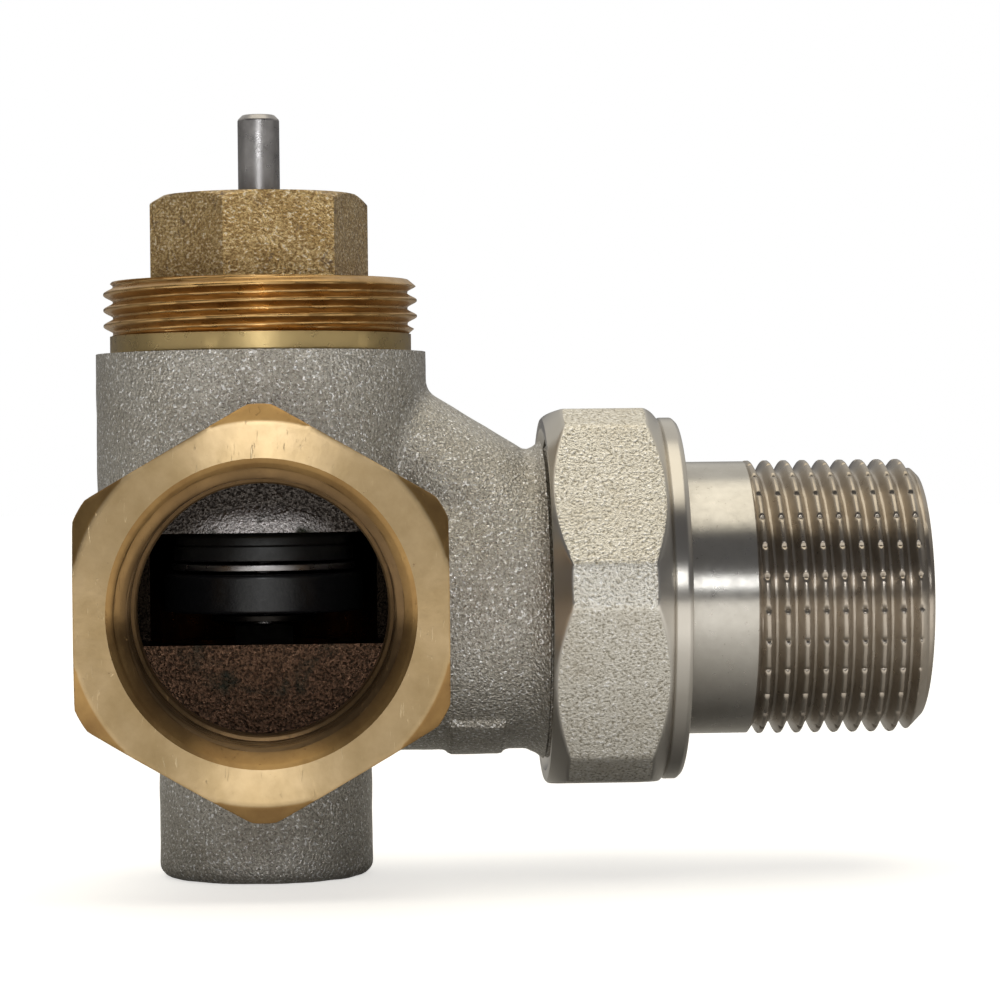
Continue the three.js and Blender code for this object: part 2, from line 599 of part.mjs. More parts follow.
function tailpiece() {
  const { crest, root } = PIPE_THREAD;
  const runOut = THREAD_RUN_OUT * (crest - root);
  const sleeve = turned([
    [0, TAIL_COLLAR.back], [TAIL_COLLAR.radius, TAIL_COLLAR.back],
    [TAIL_COLLAR.radius, TAIL_COLLAR.front], [TAIL_RADIUS, TAIL_COLLAR.front],
    [TAIL_RADIUS, TAIL_THREAD_START], [root, TAIL_THREAD_START + runOut], [root, TAIL_THREAD_END],
    [TAIL_FACE_RADIUS, TAIL_FACE], [0, TAIL_FACE],
  ]);
  const clear = crest + PAST;
  const endSlope = (TAIL_FACE - TAIL_THREAD_END) / (crest - TAIL_FACE_RADIUS);
  const trim = turned([
    [0, TAIL_THREAD_START], [root, TAIL_THREAD_START], [clear, TAIL_THREAD_START + clear - root],
    [clear, TAIL_FACE - endSlope * (clear - TAIL_FACE_RADIUS)], [TAIL_FACE_RADIUS, TAIL_FACE],
    [0, TAIL_FACE],
  ]);
  const thread = sharedBy(threadRidge(PIPE_THREAD, TAIL_THREAD_START - PAST, TAIL_FACE + PAST), trim);
  const bore = rod(TAIL_BORE, TAIL_COLLAR.back - PAST, TAIL_FACE + PAST);
  const hollow = cutBy(joined(sleeve, thread), bore);
  const reach = TAIL_BORE + GAP;
  const lugs = [-1, 1].map((side) => {
    const [inner, outer] = side < 0 ? [-reach, LUG.depth - TAIL_BORE] : [TAIL_BORE - LUG.depth, reach];
    return block(inner, outer, -LUG.width / 2, LUG.width / 2, LUG.start, LUG.end);
  });
  return joined(hollow, ...lugs);
}

// ---------------------------------------------------------------- finishes

const PLATED_CASTING = { color: 0x77736a, roughness: 0.55, metalness: 0.9 };
const TURNED_BRASS = { color: 0xb28a4e, roughness: 0.3, metalness: 1 };
const NICKEL_PLATE = { color: 0xc9c4b6, roughness: 0.28, metalness: 1 };
const STAINLESS = { color: 0x9b9995, roughness: 0.3, metalness: 1 };
const SPRING_STEEL = { color: 0x8d8c89, roughness: 0.35, metalness: 1 };
const BLACK_RUBBER = { color: 0x161616, roughness: 0.75, metalness: 0 };
const BLACK_PLASTIC = { color: 0x1d1c1b, roughness: 0.5, metalness: 0 };
const GUIDE_PLASTIC = { color: 0xd9d5c8, roughness: 0.5, metalness: 0 };
const SEALING_FIBRE = { color: 0x6d7f74, roughness: 0.9, metalness: 0 };
const COPPER = { color: 0xb06a45, roughness: 0.4, metalness: 1 };

// ---------------------------------------------------------------- assembly

function piece(name, geometry, finish) {
  const mesh = new THREE.Mesh(geometry, new THREE.MeshStandardMaterial(finish));
  mesh.name = name;
  return mesh;
}

const inletSide = new THREE.Group();
inletSide.rotation.x = Math.PI / 2;
inletSide.add(
  piece("inlet_socket", inletSocket(), TURNED_BRASS),
  piece("inlet_gasket", inletGasket(), COPPER),
);

const headwork = new THREE.Group();
headwork.add(
  piece("bonnet", bonnet(), TURNED_BRASS),
  piece("bonnet_o_ring", bonnetSeal(), BLACK_RUBBER),
  piece("gland_cartridge", glandCartridge(), TURNED_BRASS),
  piece("gland_outer_o_ring", glandOuterSeal(), BLACK_RUBBER),
  piece("gland_inner_o_ring", glandInnerSeal(), BLACK_RUBBER),
  piece("gland_washer", glandWasher(), GUIDE_PLASTIC),
  piece("guide_bush", guideBush(), GUIDE_PLASTIC),
  piece("bush_snap_ring", bushClip(), SPRING_STEEL),
  piece("return_spring", returnSpring(), SPRING_STEEL),
  piece("pressure_pin", pressurePin(), STAINLESS),
);

const spindleAssembly = new THREE.Group();
spindleAssembly.add(
  piece("valve_spindle", valveSpindle(), STAINLESS),
  piece("spring_cup", springCup(), TURNED_BRASS),
  piece("spindle_clip", spindleClip(), SPRING_STEEL),
  piece("disc_holder", discHolder(), BLACK_PLASTIC),
  piece("disc_backing_plate", discBacking(), STAINLESS),
  piece("seal_disc", sealDisc(), BLACK_RUBBER),
  piece("disc_washer", discWasher(), STAINLESS),
  piece("disc_nut", discNut(), STAINLESS),
);

const outletSide = new THREE.Group();
outletSide.rotation.y = Math.PI / 2;
outletSide.add(
  piece("union_seal", unionSeal(), SEALING_FIBRE),
  piece("tailpiece", tailpiece(), NICKEL_PLATE),
  piece("union_nut", unionNut(), NICKEL_PLATE),
);

const group = new THREE.Group();
group.add(piece("valve_body", valveBody(), PLATED_CASTING));
group.add(inletSide, headwork, spindleAssembly, outletSide);

export default group;
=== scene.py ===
"""The looks of a double-angle thermostatic radiator valve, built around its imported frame."""

import json
import math

import bmesh
import bpy
import numpy as np
from mathutils import Euler, Matrix, Vector


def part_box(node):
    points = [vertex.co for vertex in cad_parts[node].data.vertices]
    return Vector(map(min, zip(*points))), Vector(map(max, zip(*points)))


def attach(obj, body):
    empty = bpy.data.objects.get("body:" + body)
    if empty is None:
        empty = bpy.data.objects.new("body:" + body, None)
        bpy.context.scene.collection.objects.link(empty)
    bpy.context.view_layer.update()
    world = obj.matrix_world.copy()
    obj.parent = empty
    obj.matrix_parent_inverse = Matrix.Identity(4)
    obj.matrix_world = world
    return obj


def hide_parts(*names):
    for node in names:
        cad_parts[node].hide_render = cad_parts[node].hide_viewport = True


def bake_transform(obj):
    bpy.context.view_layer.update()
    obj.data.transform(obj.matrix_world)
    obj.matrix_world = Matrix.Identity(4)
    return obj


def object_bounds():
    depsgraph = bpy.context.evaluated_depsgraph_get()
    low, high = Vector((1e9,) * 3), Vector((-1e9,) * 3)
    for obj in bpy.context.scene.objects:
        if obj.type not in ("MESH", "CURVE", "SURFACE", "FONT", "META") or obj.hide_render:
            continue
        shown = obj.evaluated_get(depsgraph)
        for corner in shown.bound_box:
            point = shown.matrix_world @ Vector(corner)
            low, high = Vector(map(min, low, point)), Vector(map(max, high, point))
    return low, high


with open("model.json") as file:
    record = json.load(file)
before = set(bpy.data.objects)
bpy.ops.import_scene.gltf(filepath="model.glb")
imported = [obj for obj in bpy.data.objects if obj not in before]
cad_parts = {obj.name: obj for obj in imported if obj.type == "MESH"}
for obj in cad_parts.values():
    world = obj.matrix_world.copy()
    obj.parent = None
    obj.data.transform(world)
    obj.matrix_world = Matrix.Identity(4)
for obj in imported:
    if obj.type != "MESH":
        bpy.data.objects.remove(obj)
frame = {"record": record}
cad_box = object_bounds()

# ---- sizes, in millimetres

MM = 0.001
EDGE = 0.15  # how far the sharp corners of a turned piece are broken
ARC_STEPS = 4  # facets across each broken corner
AROUND = 144  # facets round a turned piece
HEX_CORNERS = [30, 90, 150, 210, 270, 330]  # directions of a hexagon's corners from its flat, in degrees

HEAD_THREAD = {"crest": 15.0, "root": 14.1, "pitch": 1.5, "start": 0.27}
PIPE_THREAD = {"crest": 13.2, "root": 12.06, "pitch": 1.814, "start": 0.2}
UNION_THREAD = {"crest": 15.2, "root": 14.5, "pitch": 1.5, "start": 0.0}
NUT_THREAD = {"crest": 15.35, "root": 15.95, "pitch": 1.5, "start": 0.5}
SOCKET_THREAD = {"crest": 12.06, "root": 13.2, "pitch": 1.814, "start": 0.0}
THREAD_ROWS = 20  # rows of facets in each pitch of a thread
NICKS = 27  # small cuts across each turn of the tail's thread, which hold the sealing hemp
NICK_DEPTH = 0.28
NICK_WIDTH = 0.07  # of the distance from one nick to the next

CASTING_STEP = 0.4  # grid that the casting's skin is drawn on
SKIN_WAVE = 0.03
FILLET = 0.9
CUT_PAST = 1.0  # how far a cutter reaches beyond what it cuts
BRANCH_RADIUS = 14.3
BRANCH_END = 25.4
FLARE_RADIUS = 15.3
SPIGOT_START = 26.6
BOSS_RADIUS = 10.2
BOSS_TOP = -14.5
CASING_SHOULDER = -8.5
BOSS_ROUNDING = 1.3
RIDGE_RADIUS = 8.0
RIDGE_START = 10.0
RIDGE_TOP = 23.8
PAD = {"start": 17.6, "end": 22.5, "half_width": 9.2, "radius": 14.8}
SEAT = {"floor": -5.0, "top": -3.6, "rim": 8.6, "bore": 7.2, "underside": -7.5}
UPPER_CHAMBER = 11.0
LOWER_CHAMBER = {"radius": 8.2, "floor": -23.0}
BONNET_BORE = {"radius": 13.2, "floor": 15.6}
PARTITION_FACE = 12.4
WINDOW = {"half_width": 12.0, "bottom": -3.4, "top": 7.0, "end": -2.0}
BULGE = {"half_width": 6.6, "height": 2.5, "proud": 0.6}
IN_PORT = {"radius": 12.6, "end": -1.0, "wet_ring": 7.6}  # where the casting shows its dark inside
BRANCH_BORE = {"radius": 11.0, "start": 14.5}
DUCT = {"half_width": 7.0, "half_height": 2.75, "centre": -10.25, "end": 16.0}
NECK_BORE = 14.3

HEX_FACE_RADIUS = 17.25
HEX_CORNER_RADIUS = 18.8
HEX_BACK = 17.8
HEX_CHAMFER_SLOPE = math.tan(math.radians(60))
SOCKET_ENTRY = 13.77
SOCKET_LIP = 16.0
SOCKET_BORE = 11.6

NUT_FLATS = 35.3
NUT_CORNER_FLATS = 38.4
NUT_TURN = math.radians(-95.5)
NUT_RING_RADIUS = 17.4
NUT_CHAMFER_SLOPE = math.tan(math.radians(50))
NUT_HEX_END = 37.8
NUT_SHOULDER = 38.2
NUT_BORE = 13.4

BONNET_FLATS = 18.4
BONNET_TURN = math.radians(-78.4)
BONNET_TOP_RADIUS = 9.25
HEAD_FACE = 30.85
COLLAR_TOP = 25.65
COLLAR_RADIUS = 14.4
SPRING_BORE = 7.4
GLAND_BORE = 6.3
GLAND_FLOOR = 28.9
BUSH_STEP = 11.5

PIN_RADIUS = 2.0
PIN_HOLE = 2.3
STUD_RADIUS = 1.6
STUD_HOLE = 1.9
SEAL_HOLE = 11.3
BUSH_RING = {"bore": 6.9, "radius": 8.6, "slot_half_width": 2.5}
SPINDLE_CLIP = {"bore": 1.7, "radius": 3.6, "slot_half_width": 1.2}
PILOT_RADIUS = 4.6  # fits inside the spring's coil
CUP_FLANGE = 1.8  # from the spring cup's lower end up to its flange
SPRING = {"mean": 5.5, "wire": 0.6, "turns": 6, "flat_share": 0.35}

TAIL_THREAD_START = 46.2
TAIL_COLLAR_FRONT = 37.9
TAIL_FACE_RADIUS = 11.7
TAIL_RADIUS = 13.1
TAIL_BORE = 10.0
LUG = {"depth": 1.4, "half_width": 1.5, "start": 50.0, "end": 58.0}

# The floor glows from nothing under the object to "far" at "reach" from it, less so behind it.
PAPER_GLOW = {"near": 0.0, "far": 0.98, "reach": 80.0, "behind": 0.12, "seen": 0.62}
FOOTPRINT = {"middle": 22.0, "half_length": 28.0}
FLOOR_HALF = 2.4  # in metres
FLASH = {"power": 0.78, "size": 0.14, "size_y": 0.12}
OVERHEAD = (1.76, 1.66, 1.43)
FRONT_WALLS = (0.13, 0.13, 0.135)
BACK_WALLS = (0.72, 0.70, 0.65)

AXES = {
    "Z": Matrix.Identity(3),
    "-Y": Matrix.Rotation(math.pi / 2, 3, "X"),
    "X": Matrix.Rotation(math.pi / 2, 3, "Y"),
}
BODY_OF = {n: body for body, nodes in frame["record"]["behaviour"]["bodies"].items() for n in nodes}


def extent(node):
    """Lowest and highest corners of a CAD node, in millimetres."""
    low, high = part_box(node)
    return low / MM, high / MM


# ---- mesh making


def even_angles(count=AROUND):
    return np.arange(count) * 2 * math.pi / count


def angles_with(corners, count):
    """Even angles, with extra ones close beside each of the corners of a faceted outline."""
    spread = [0.12, 0.3, 0.55, 0.9, 1.4]
    near = np.radians([-s for s in spread] + [0] + spread)
    extra = (np.asarray(corners)[:, None] + near[None, :]).ravel()
    every = np.sort(np.concatenate([even_angles(count), extra]) % (2 * math.pi))
    return every[np.diff(every, prepend=every[-1] - 2 * math.pi) > math.radians(0.05)]


def mesh_piece(name, points, faces):
    """A smooth-shaded object from corners in metres and quads, facing outwards."""
    mesh = bpy.data.meshes.new(name)
    mesh.from_pydata([tuple(p) for p in points], [], [tuple(f) for f in faces])
    shape = bmesh.new()
    shape.from_mesh(mesh)
    bmesh.ops.remove_doubles(shape, verts=shape.verts, dist=1e-8)
    if shape.calc_volume(signed=True) < 0:
        bmesh.ops.reverse_faces(shape, faces=shape.faces)
    shape.to_mesh(mesh)
    shape.free()
    piece = bpy.data.objects.new(name, mesh)
    bpy.context.scene.collection.objects.link(piece)
    smooth(piece)
    return piece


def smooth(piece, sharp_degrees=38):
    piece.data.shade_smooth()
    piece.data.set_sharp_from_angle(angle=math.radians(sharp_degrees))


def weigh_normals(piece):
    """Lets the wide faces keep their own shading where small facets meet them."""
    weighted = piece.modifiers.new("weighted", "WEIGHTED_NORMAL")
    weighted.keep_sharp = True
    weighted.weight = 80


def rows_piece(name, rows, axis="Z", angles=None):
    """A closed piece from a loop of rows round an axis. A row is a radius and a height, each a
    number or one value per angle. Rows that start and end on the axis close there."""
    angles = even_angles() if angles is None else angles
    count = len(angles)
    radius = np.array([np.broadcast_to(row[0], count) for row in rows], float)
    height = np.array([np.broadcast_to(row[1], count) for row in rows], float)
    local = np.stack([radius * np.cos(angles), radius * np.sin(angles), height], -1)
    points = local.reshape(-1, 3) @ np.array(AXES[axis]).T * MM
    on_axis = radius[0].max() < 1e-6
    last = len(rows) - 1 if on_axis else len(rows)
    row = np.arange(last)[:, None]
    column = np.arange(count)[None, :]
    above = (row + 1) % len(rows)
    beside = (column + 1) % count
    quads = [row * count + column, row * count + beside, above * count + beside, above * count + column]
    faces = np.stack([np.broadcast_to(q, (last, count)) for q in quads], -1).reshape(-1, 4)
    return mesh_piece(name, points, faces)


def rounded(corners, reach):
    """The corners of a closed outline, each broken by a small arc. Corners on the axis stay."""
    outline = []
    for i, corner in enumerate(corners):
        here = Vector(corner)
        back = Vector(corners[i - 1]) - here
        ahead = Vector(corners[(i + 1) % len(corners)]) - here
        if here.x < 1e-6:
            outline.append(tuple(here))
            continue
        cut = min(reach, 0.4 * back.length, 0.4 * ahead.length)
        start = here + back.normalized() * cut
        end = here + ahead.normalized() * cut
        for k in range(ARC_STEPS + 1):
            t = k / ARC_STEPS
            outline.append(tuple(start * (1 - t) ** 2 + here * (2 * t * (1 - t)) + end * t * t))
    return outline


def turned(name, corners, axis="Z", edge=EDGE):
    piece = rows_piece(name, rounded(corners, edge), axis)
    weigh_normals(piece)
    return piece


def soft_min(*values, edge=0.07):
    """The least of several distances, rounded where two of them cross."""
    least = np.minimum.reduce(np.broadcast_arrays(*values))
    return least - edge * np.log(sum(np.exp(-(np.asarray(v) - least) / edge) for v in values))


def soft_max(*values, edge):
    return -soft_min(*[-np.asarray(v) for v in values], edge=edge)


def hexagon_radius(angles, across_flats, flat_direction):
    """How far out the flats of a hexagonal bar lie in each direction."""
    turn = math.pi / 3
    off = (angles - flat_direction + turn / 2) % turn - turn / 2
    return across_flats / 2 / np.cos(off)


def thread_radius(angles, height, thread):
    """The radius of a right-hand thread with rounded crests and roots, at one height."""
    phase = (height / thread["pitch"] - angles / (2 * math.pi) - thread["start"]) % 1
    rise = np.abs(2 * phase - 1)
    flank = np.clip((rise - 0.12) / 0.76, 0, 1)
    eased = flank * flank * (3 - 2 * flank)
    return thread["root"] + (thread["crest"] - thread["root"]) * (0.45 * flank + 0.55 * eased)


def thread_heights(low, high, thread):
    return np.linspace(low, high, max(2, round((high - low) / thread["pitch"] * THREAD_ROWS)))


def combine(piece, tool, operation):
    """Joins a piece with a tool or cuts it by one, and takes the tool away."""
    boolean = piece.modifiers.new("combine", "BOOLEAN")
    boolean.operation = operation
    boolean.solver = "MANIFOLD"
    boolean.material_mode = "TRANSFER"
    boolean.object = tool
    graph = bpy.context.evaluated_depsgraph_get()
    result = bpy.data.meshes.new_from_object(piece.evaluated_get(graph))
    piece.modifiers.clear()
    old = piece.data
    piece.data = result
    bpy.data.meshes.remove(old)
    bpy.data.objects.remove(tool)
    return piece


def stand_for(piece, node, *materials):
    """The piece shows in place of a CAD node, on that node's body."""
    if materials:
        piece.data.materials.clear()
    for material in materials:
        piece.data.materials.append(material)
    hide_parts(node)
    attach(piece, BODY_OF[node])
    return piece


# ---- node materials


class Nodes:
    """A node tree, built up one node at a time."""

    def __init__(self, tree):
        self.tree = tree

    def node(self, kind, inputs=None, **settings):
        made = self.tree.nodes.new(kind)
        for name, value in settings.items():
            setattr(made, name, value)
        for key, value in (inputs or {}).items():
            self.feed(made.inputs[key], value)
        return made

    def feed(self, socket, value):
        if isinstance(value, bpy.types.NodeSocket):
            self.tree.links.new(value, socket)
        else:
            socket.default_value = (*value, 1) if socket.type == "RGBA" else value

    def between(self, value, low, high, to_low=0.0, to_high=1.0):
        settings = dict(enumerate((value, low, high, to_low, to_high)))
        return self.node("ShaderNodeMapRange", settings).outputs[0]

    def blend(self, amount, first, second):
        mixer = self.node("ShaderNodeMix", data_type="RGBA")
        for key, value in ((0, amount), (6, first), (7, second)):
            self.feed(mixer.inputs[key], value)
        return mixer.outputs[2]

    def maths(self, operation, *values):
        made = self.node("ShaderNodeMath", operation=operation)
        for socket, value in zip(made.inputs, values):
            self.feed(socket, value)
        return made.outputs[0]

    def part(self, vector, axis):
        return self.node("ShaderNodeSeparateXYZ", {0: vector}).outputs[axis]


class Finish(Nodes):
    """A procedural material. Lengths are in millimetres."""

    def __init__(self, name, metallic=1.0):
        self.material = bpy.data.materials.new(name)
        self.material.use_nodes = True
        super().__init__(self.material.node_tree)
        self.surface = self.tree.nodes["Principled BSDF"]
        self.surface.inputs["Metallic"].default_value = metallic
        self.place = self.node("ShaderNodeTexCoord").outputs["Object"]
        self.normal = None

    def noise(self, size, detail=2.0, roughness=0.5, stretch=(1, 1, 1), distortion=0.0):
        spot = self.node("ShaderNodeMapping", {"Vector": self.place, "Scale": stretch})
        settings = {"Vector": spot.outputs[0], "Scale": 1 / (size * MM), "Detail": detail,
                    "Roughness": roughness, "Distortion": distortion}
        return self.node("ShaderNodeTexNoise", settings).outputs["Fac"]

    def rings(self, size):
        """Turning marks: fine rings about the object's Y axis."""
        settings = {"Vector": self.place, "Scale": 1 / (size * MM) / 20, "Distortion": 0.4,
                    "Detail": 3.0, "Detail Scale": 2.0}
        wave = self.node("ShaderNodeTexWave", settings, wave_type="RINGS", rings_direction="Y")
        return wave.outputs["Fac"]

    def along(self, axis):
        """The object's own coordinate along one axis, in millimetres."""
        return self.maths("DIVIDE", self.part(self.place, axis), MM)

    def facing(self, axis):
        """How far the surface looks along one axis of the world, which no joint turns it from."""
        return self.part(self.node("ShaderNodeNewGeometry").outputs["Normal"], axis)

    def from_axis(self, first, second):
        """Distance from one of the object's axes, in millimetres."""
        return self.maths("SQRT", self.squares(self.along(first), self.along(second)))

    def squares(self, *values):
        """The sum of two squares."""
        return self.maths("ADD", *[self.maths("MULTIPLY", value, value) for value in values])

    def relief(self, height, depth, strength=1.0):
        """Adds one layer of bump to those before it."""
        settings = {"Height": height, "Distance": depth * MM, "Strength": strength}
        if self.normal is not None:
            settings["Normal"] = self.normal
        self.normal = self.node("ShaderNodeBump", settings).outputs[0]

    def brushed(self, amount, axis):
        """Highlights stretched across the turning marks that run round one of the object's axes."""
        tangent = self.node("ShaderNodeTangent", direction_type="RADIAL", axis=axis)
        self.feed(self.surface.inputs["Anisotropic"], amount)
        self.feed(self.surface.inputs["Anisotropic Rotation"], 0.25)
        self.feed(self.surface.inputs["Tangent"], tangent.outputs[0])

    def done(self, colour, roughness):
        self.feed(self.surface.inputs["Base Color"], colour)
        self.feed(self.surface.inputs["Roughness"], roughness)
        if self.normal is not None:
            self.feed(self.surface.inputs["Normal"], self.normal)
        return self.material


def cast_nickel():
    """Blasted and plated casting: a fine grain with stains and painted glints of sparkle, and a dull, dark
    inside.
    """
    f = Finish("blasted nickel casting", metallic=0.97)
    grain = f.noise(0.26, roughness=0.6)
    fleck = f.noise(0.5, detail=3.0, roughness=0.7)
    painted_glint = f.noise(0.30, detail=1.0)
    f.relief(f.noise(1.6), 0.05, 0.4)
    f.relief(grain, 0.24, 1.0)
    patches = f.between(f.noise(7.0, detail=4.0, roughness=0.6), 0.40, 0.66)
    colour = f.blend(patches, (0.585, 0.555, 0.50), (0.50, 0.465, 0.405))
    colour = f.blend(f.between(grain, 0.36, 0.58, 0.7, 0.0), colour, (0.26, 0.24, 0.20))
    colour = f.blend(f.between(fleck, 0.60, 0.72, 0.0, 0.5), colour, (0.72, 0.71, 0.68))
    # Painted highlight: near-white specks in the colour stand in for light sparkling off the grain.
    colour = f.blend(f.between(painted_glint, 0.60, 0.68, 0.0, 0.9), colour, (1.0, 0.99, 0.98))
    stain = f.noise(4.5, detail=5.0, roughness=0.7, distortion=0.6)
    colour = f.blend(f.between(stain, 0.64, 0.76, 0.0, 0.6), colour, (0.33, 0.25, 0.13))
    in_port = f.maths("LESS_THAN", f.from_axis(0, 2), IN_PORT["radius"])
    deep = f.maths("MULTIPLY", in_port, f.maths("LESS_THAN", f.along(1), IN_PORT["end"]))
    colour = f.blend(deep, colour, port_inside(f, grain))
    return f.done(colour, f.between(fleck, 0.3, 0.7, 0.24, 0.38))


def port_inside(f, grain):
    """The partition seen through the inlet: grey above, coppery below with a wet ring, and a painted
    highlight on the swelling over the window. The window's sides and all behind the partition's face carry
    painted shade, nearly black."""
    copper = f.blend(f.between(grain, 0.40, 0.60), (0.06, 0.037, 0.024), (0.22, 0.125, 0.078))
    grey = f.blend(f.between(grain, 0.40, 0.60), (0.035, 0.030, 0.027), (0.15, 0.135, 0.125))
    colour = f.blend(f.between(f.along(2), -1.0, 1.0), copper, grey)
    across = f.maths("DIVIDE", f.along(0), BULGE["half_width"])
    above = f.maths("DIVIDE", f.maths("SUBTRACT", f.along(2), WINDOW["top"]), BULGE["height"])
    # Painted highlight: light grey on the swelling, brightest just above the window's top edge.
    painted_highlight = f.between(f.squares(across, above), 0.2, 1.1, 0.85, 0.0)
    colour = f.blend(painted_highlight, colour, (0.62, 0.59, 0.59))
    off_ring = f.maths("ABSOLUTE", f.maths("SUBTRACT", f.from_axis(0, 2), IN_PORT["wet_ring"]))
    ring = f.between(off_ring, 0.5, 1.6, 1.0, 0.0)
    wet = f.between(f.noise(3.2, detail=4.0, distortion=0.8), 0.45, 0.62)
    colour = f.blend(f.maths("MULTIPLY", ring, wet), colour, (0.035, 0.038, 0.028))
    # Painted shade: nearly black on the window's sides and everything behind the partition's face.
    behind = f.between(f.along(1), -PARTITION_FACE + 0.1, -PARTITION_FACE + 0.5)
    return f.blend(behind, colour, (0.028, 0.020, 0.014))


def bare_brass(name, mark, patch, bright, dull, smoothest, colour_kept_in_painted_shade=1.0):
    """Brass of the bores and hidden turned pieces, which may get painted shade above the seat, fading
    towards black.
    """
    f = Finish(name)
    f.relief(f.noise(mark, stretch=(1, 1, 6)), 0.02, 0.4)
    colour = f.blend(f.between(f.noise(patch, detail=4.0), 0.4, 0.7), bright, dull)
    if colour_kept_in_painted_shade < 1:
        # Painted shade: darker above the seat, inside the closed chamber.
        kept = f.between(f.along(2), -3.0, 3.0, 1.0, colour_kept_in_painted_shade)
        colour = f.blend(kept, (0.02, 0.015, 0.010), colour)
    return f.done(colour, f.between(f.noise(1.2, detail=3.0), 0.3, 0.7, smoothest, 0.4))


def port_brass():
    """The inlet socket: a dull turned face with rings and scratches; painted shade in brown on the chamfers
    and flanks, and painted shade deeper in the bore.
    """
    f = Finish("inlet socket brass")
    f.relief(f.rings(0.3), 0.01, 0.3)
    f.relief(f.noise(0.8, detail=3.0), 0.03, 0.25)
    lines = f.noise(0.6, detail=3.0, stretch=(1.0, 1.0, 0.16), distortion=2.5)
    scratches = f.between(lines, 0.67, 0.72)
    f.relief(scratches, 0.03, 0.5)
    cloud = f.between(f.noise(6.0, detail=5.0, roughness=0.65), 0.35, 0.7)
    dull = f.blend(cloud, (0.53, 0.39, 0.22), (0.39, 0.275, 0.135))
    dull = f.blend(f.between(scratches, 0.0, 1.0, 0.0, 0.35), dull, (0.80, 0.66, 0.42))
    # Painted shade: a darker brown copy of the brass on every surface that doesn't face the front, chosen
    # by which way it faces.
    painted_shade_brown = f.blend(cloud, (0.42, 0.26, 0.10), (0.27, 0.155, 0.06))
    face = f.between(f.maths("MULTIPLY", f.facing(1), -1.0), 0.93, 0.99)
    colour = f.blend(face, painted_shade_brown, dull)
    pits = f.between(f.noise(0.7, detail=4.0, roughness=0.7), 0.66, 0.73, 0.0, 0.8)
    colour = f.blend(pits, colour, (0.17, 0.09, 0.04))
    # Painted shade: darker deeper in the bore, from just past its face.
    inner = f.blend(cloud, (0.20, 0.125, 0.06), (0.11, 0.07, 0.035))
    face_at = extent("inlet_socket")[0].y
    colour = f.blend(f.between(f.along(1), face_at + 0.3, face_at + 1.8), colour, inner)
    outside = f.between(f.from_axis(0, 2), SOCKET_ENTRY + 0.83, SOCKET_ENTRY + 1.43)
    colour = f.blend(outside, colour, f.blend(face, painted_shade_brown, dull))
    f.brushed(0.92, "Y")
    return f.done(colour, f.between(f.noise(2.0, detail=4.0), 0.3, 0.7, 0.29, 0.36))


def head_brass():
    """The bonnet: golden turned threads, and a duller hexagon with a drawn, pitted skin."""
    f = Finish("bonnet brass")
    hexagon = f.between(f.along(2), HEAD_FACE - 0.05, HEAD_FACE + 0.15)
    drawn = f.noise(0.36, roughness=0.7, stretch=(1, 1, 1.5))
    f.relief(f.maths("MULTIPLY", drawn, hexagon), 0.24, 0.9)
    f.relief(f.noise(0.25, stretch=(1, 1, 8)), 0.02, 0.3)
    cloud = f.between(f.noise(3.2, detail=5.0, roughness=0.65), 0.36, 0.68)
    thread = f.blend(cloud, (0.54, 0.34, 0.14), (0.40, 0.24, 0.09))
    collar = f.between(f.along(2), COLLAR_TOP - 0.2, COLLAR_TOP + 0.2)
    thread = f.blend(collar, (0.50, 0.37, 0.17), thread)
    skin = f.blend(cloud, (0.64, 0.465, 0.22), (0.46, 0.31, 0.125))
    skin = f.blend(f.between(drawn, 0.40, 0.54, 0.85, 0.0), skin, (0.24, 0.145, 0.06))
    # Painted highlight: pale specks on the hexagon's skin stand in for light sparkling off its pits.
    skin = f.blend(f.between(drawn, 0.58, 0.66, 0.0, 0.7), skin, (0.95, 0.86, 0.70))
    dirt = f.between(f.noise(2.2, detail=6.0, roughness=0.75), 0.58, 0.66, 0.0, 0.85)
    skin = f.blend(dirt, skin, (0.14, 0.10, 0.08))
    colour = f.blend(hexagon, thread, skin)
    rough_skin = f.between(hexagon, 0.0, 1.0, 0.30, 0.34)
    return f.done(colour, f.maths("ADD", rough_skin, f.between(f.noise(1.1), 0.3, 0.7, -0.05, 0.08)))


def nut_nickel():
    """The union nut: flats left grainy by blasting, with polished faces, chamfers and collar."""
    f = Finish("union nut nickel")
    sideways = f.maths("ABSOLUTE", f.facing(0))
    on_hexagon = f.between(f.along(0), NUT_HEX_END - 0.3, NUT_HEX_END - 0.1, 1.0, 0.0)
    blasted = f.maths("MULTIPLY", f.between(sideways, 0.22, 0.32, 1.0, 0.0), on_hexagon)
    pits = f.noise(0.27, roughness=0.6)
    f.relief(f.maths("MULTIPLY", pits, blasted), 0.14, 0.9)
    f.relief(f.noise(0.2, stretch=(8, 1, 1)), 0.01, 0.3)
    skin = f.blend(f.between(pits, 0.34, 0.48), (0.34, 0.31, 0.25), (0.71, 0.68, 0.61))
    # Painted highlight: near-white specks stand in for light sparkling off the blasted grain.
    skin = f.blend(f.between(pits, 0.60, 0.68, 0.0, 0.9), skin, (1.0, 0.99, 0.98))
    cloud = f.between(f.noise(5.0, detail=4.0), 0.45, 0.7, 0.0, 0.35)
    skin = f.blend(cloud, skin, (0.56, 0.51, 0.42))
    bright = f.blend(cloud, (0.58, 0.55, 0.50), (0.50, 0.46, 0.40))
    colour = f.blend(blasted, bright, skin)
    f.brushed(f.between(blasted, 0.0, 1.0, 0.92, 0.0), "X")
    return f.done(colour, f.between(blasted, 0.0, 1.0, 0.30, 0.40))


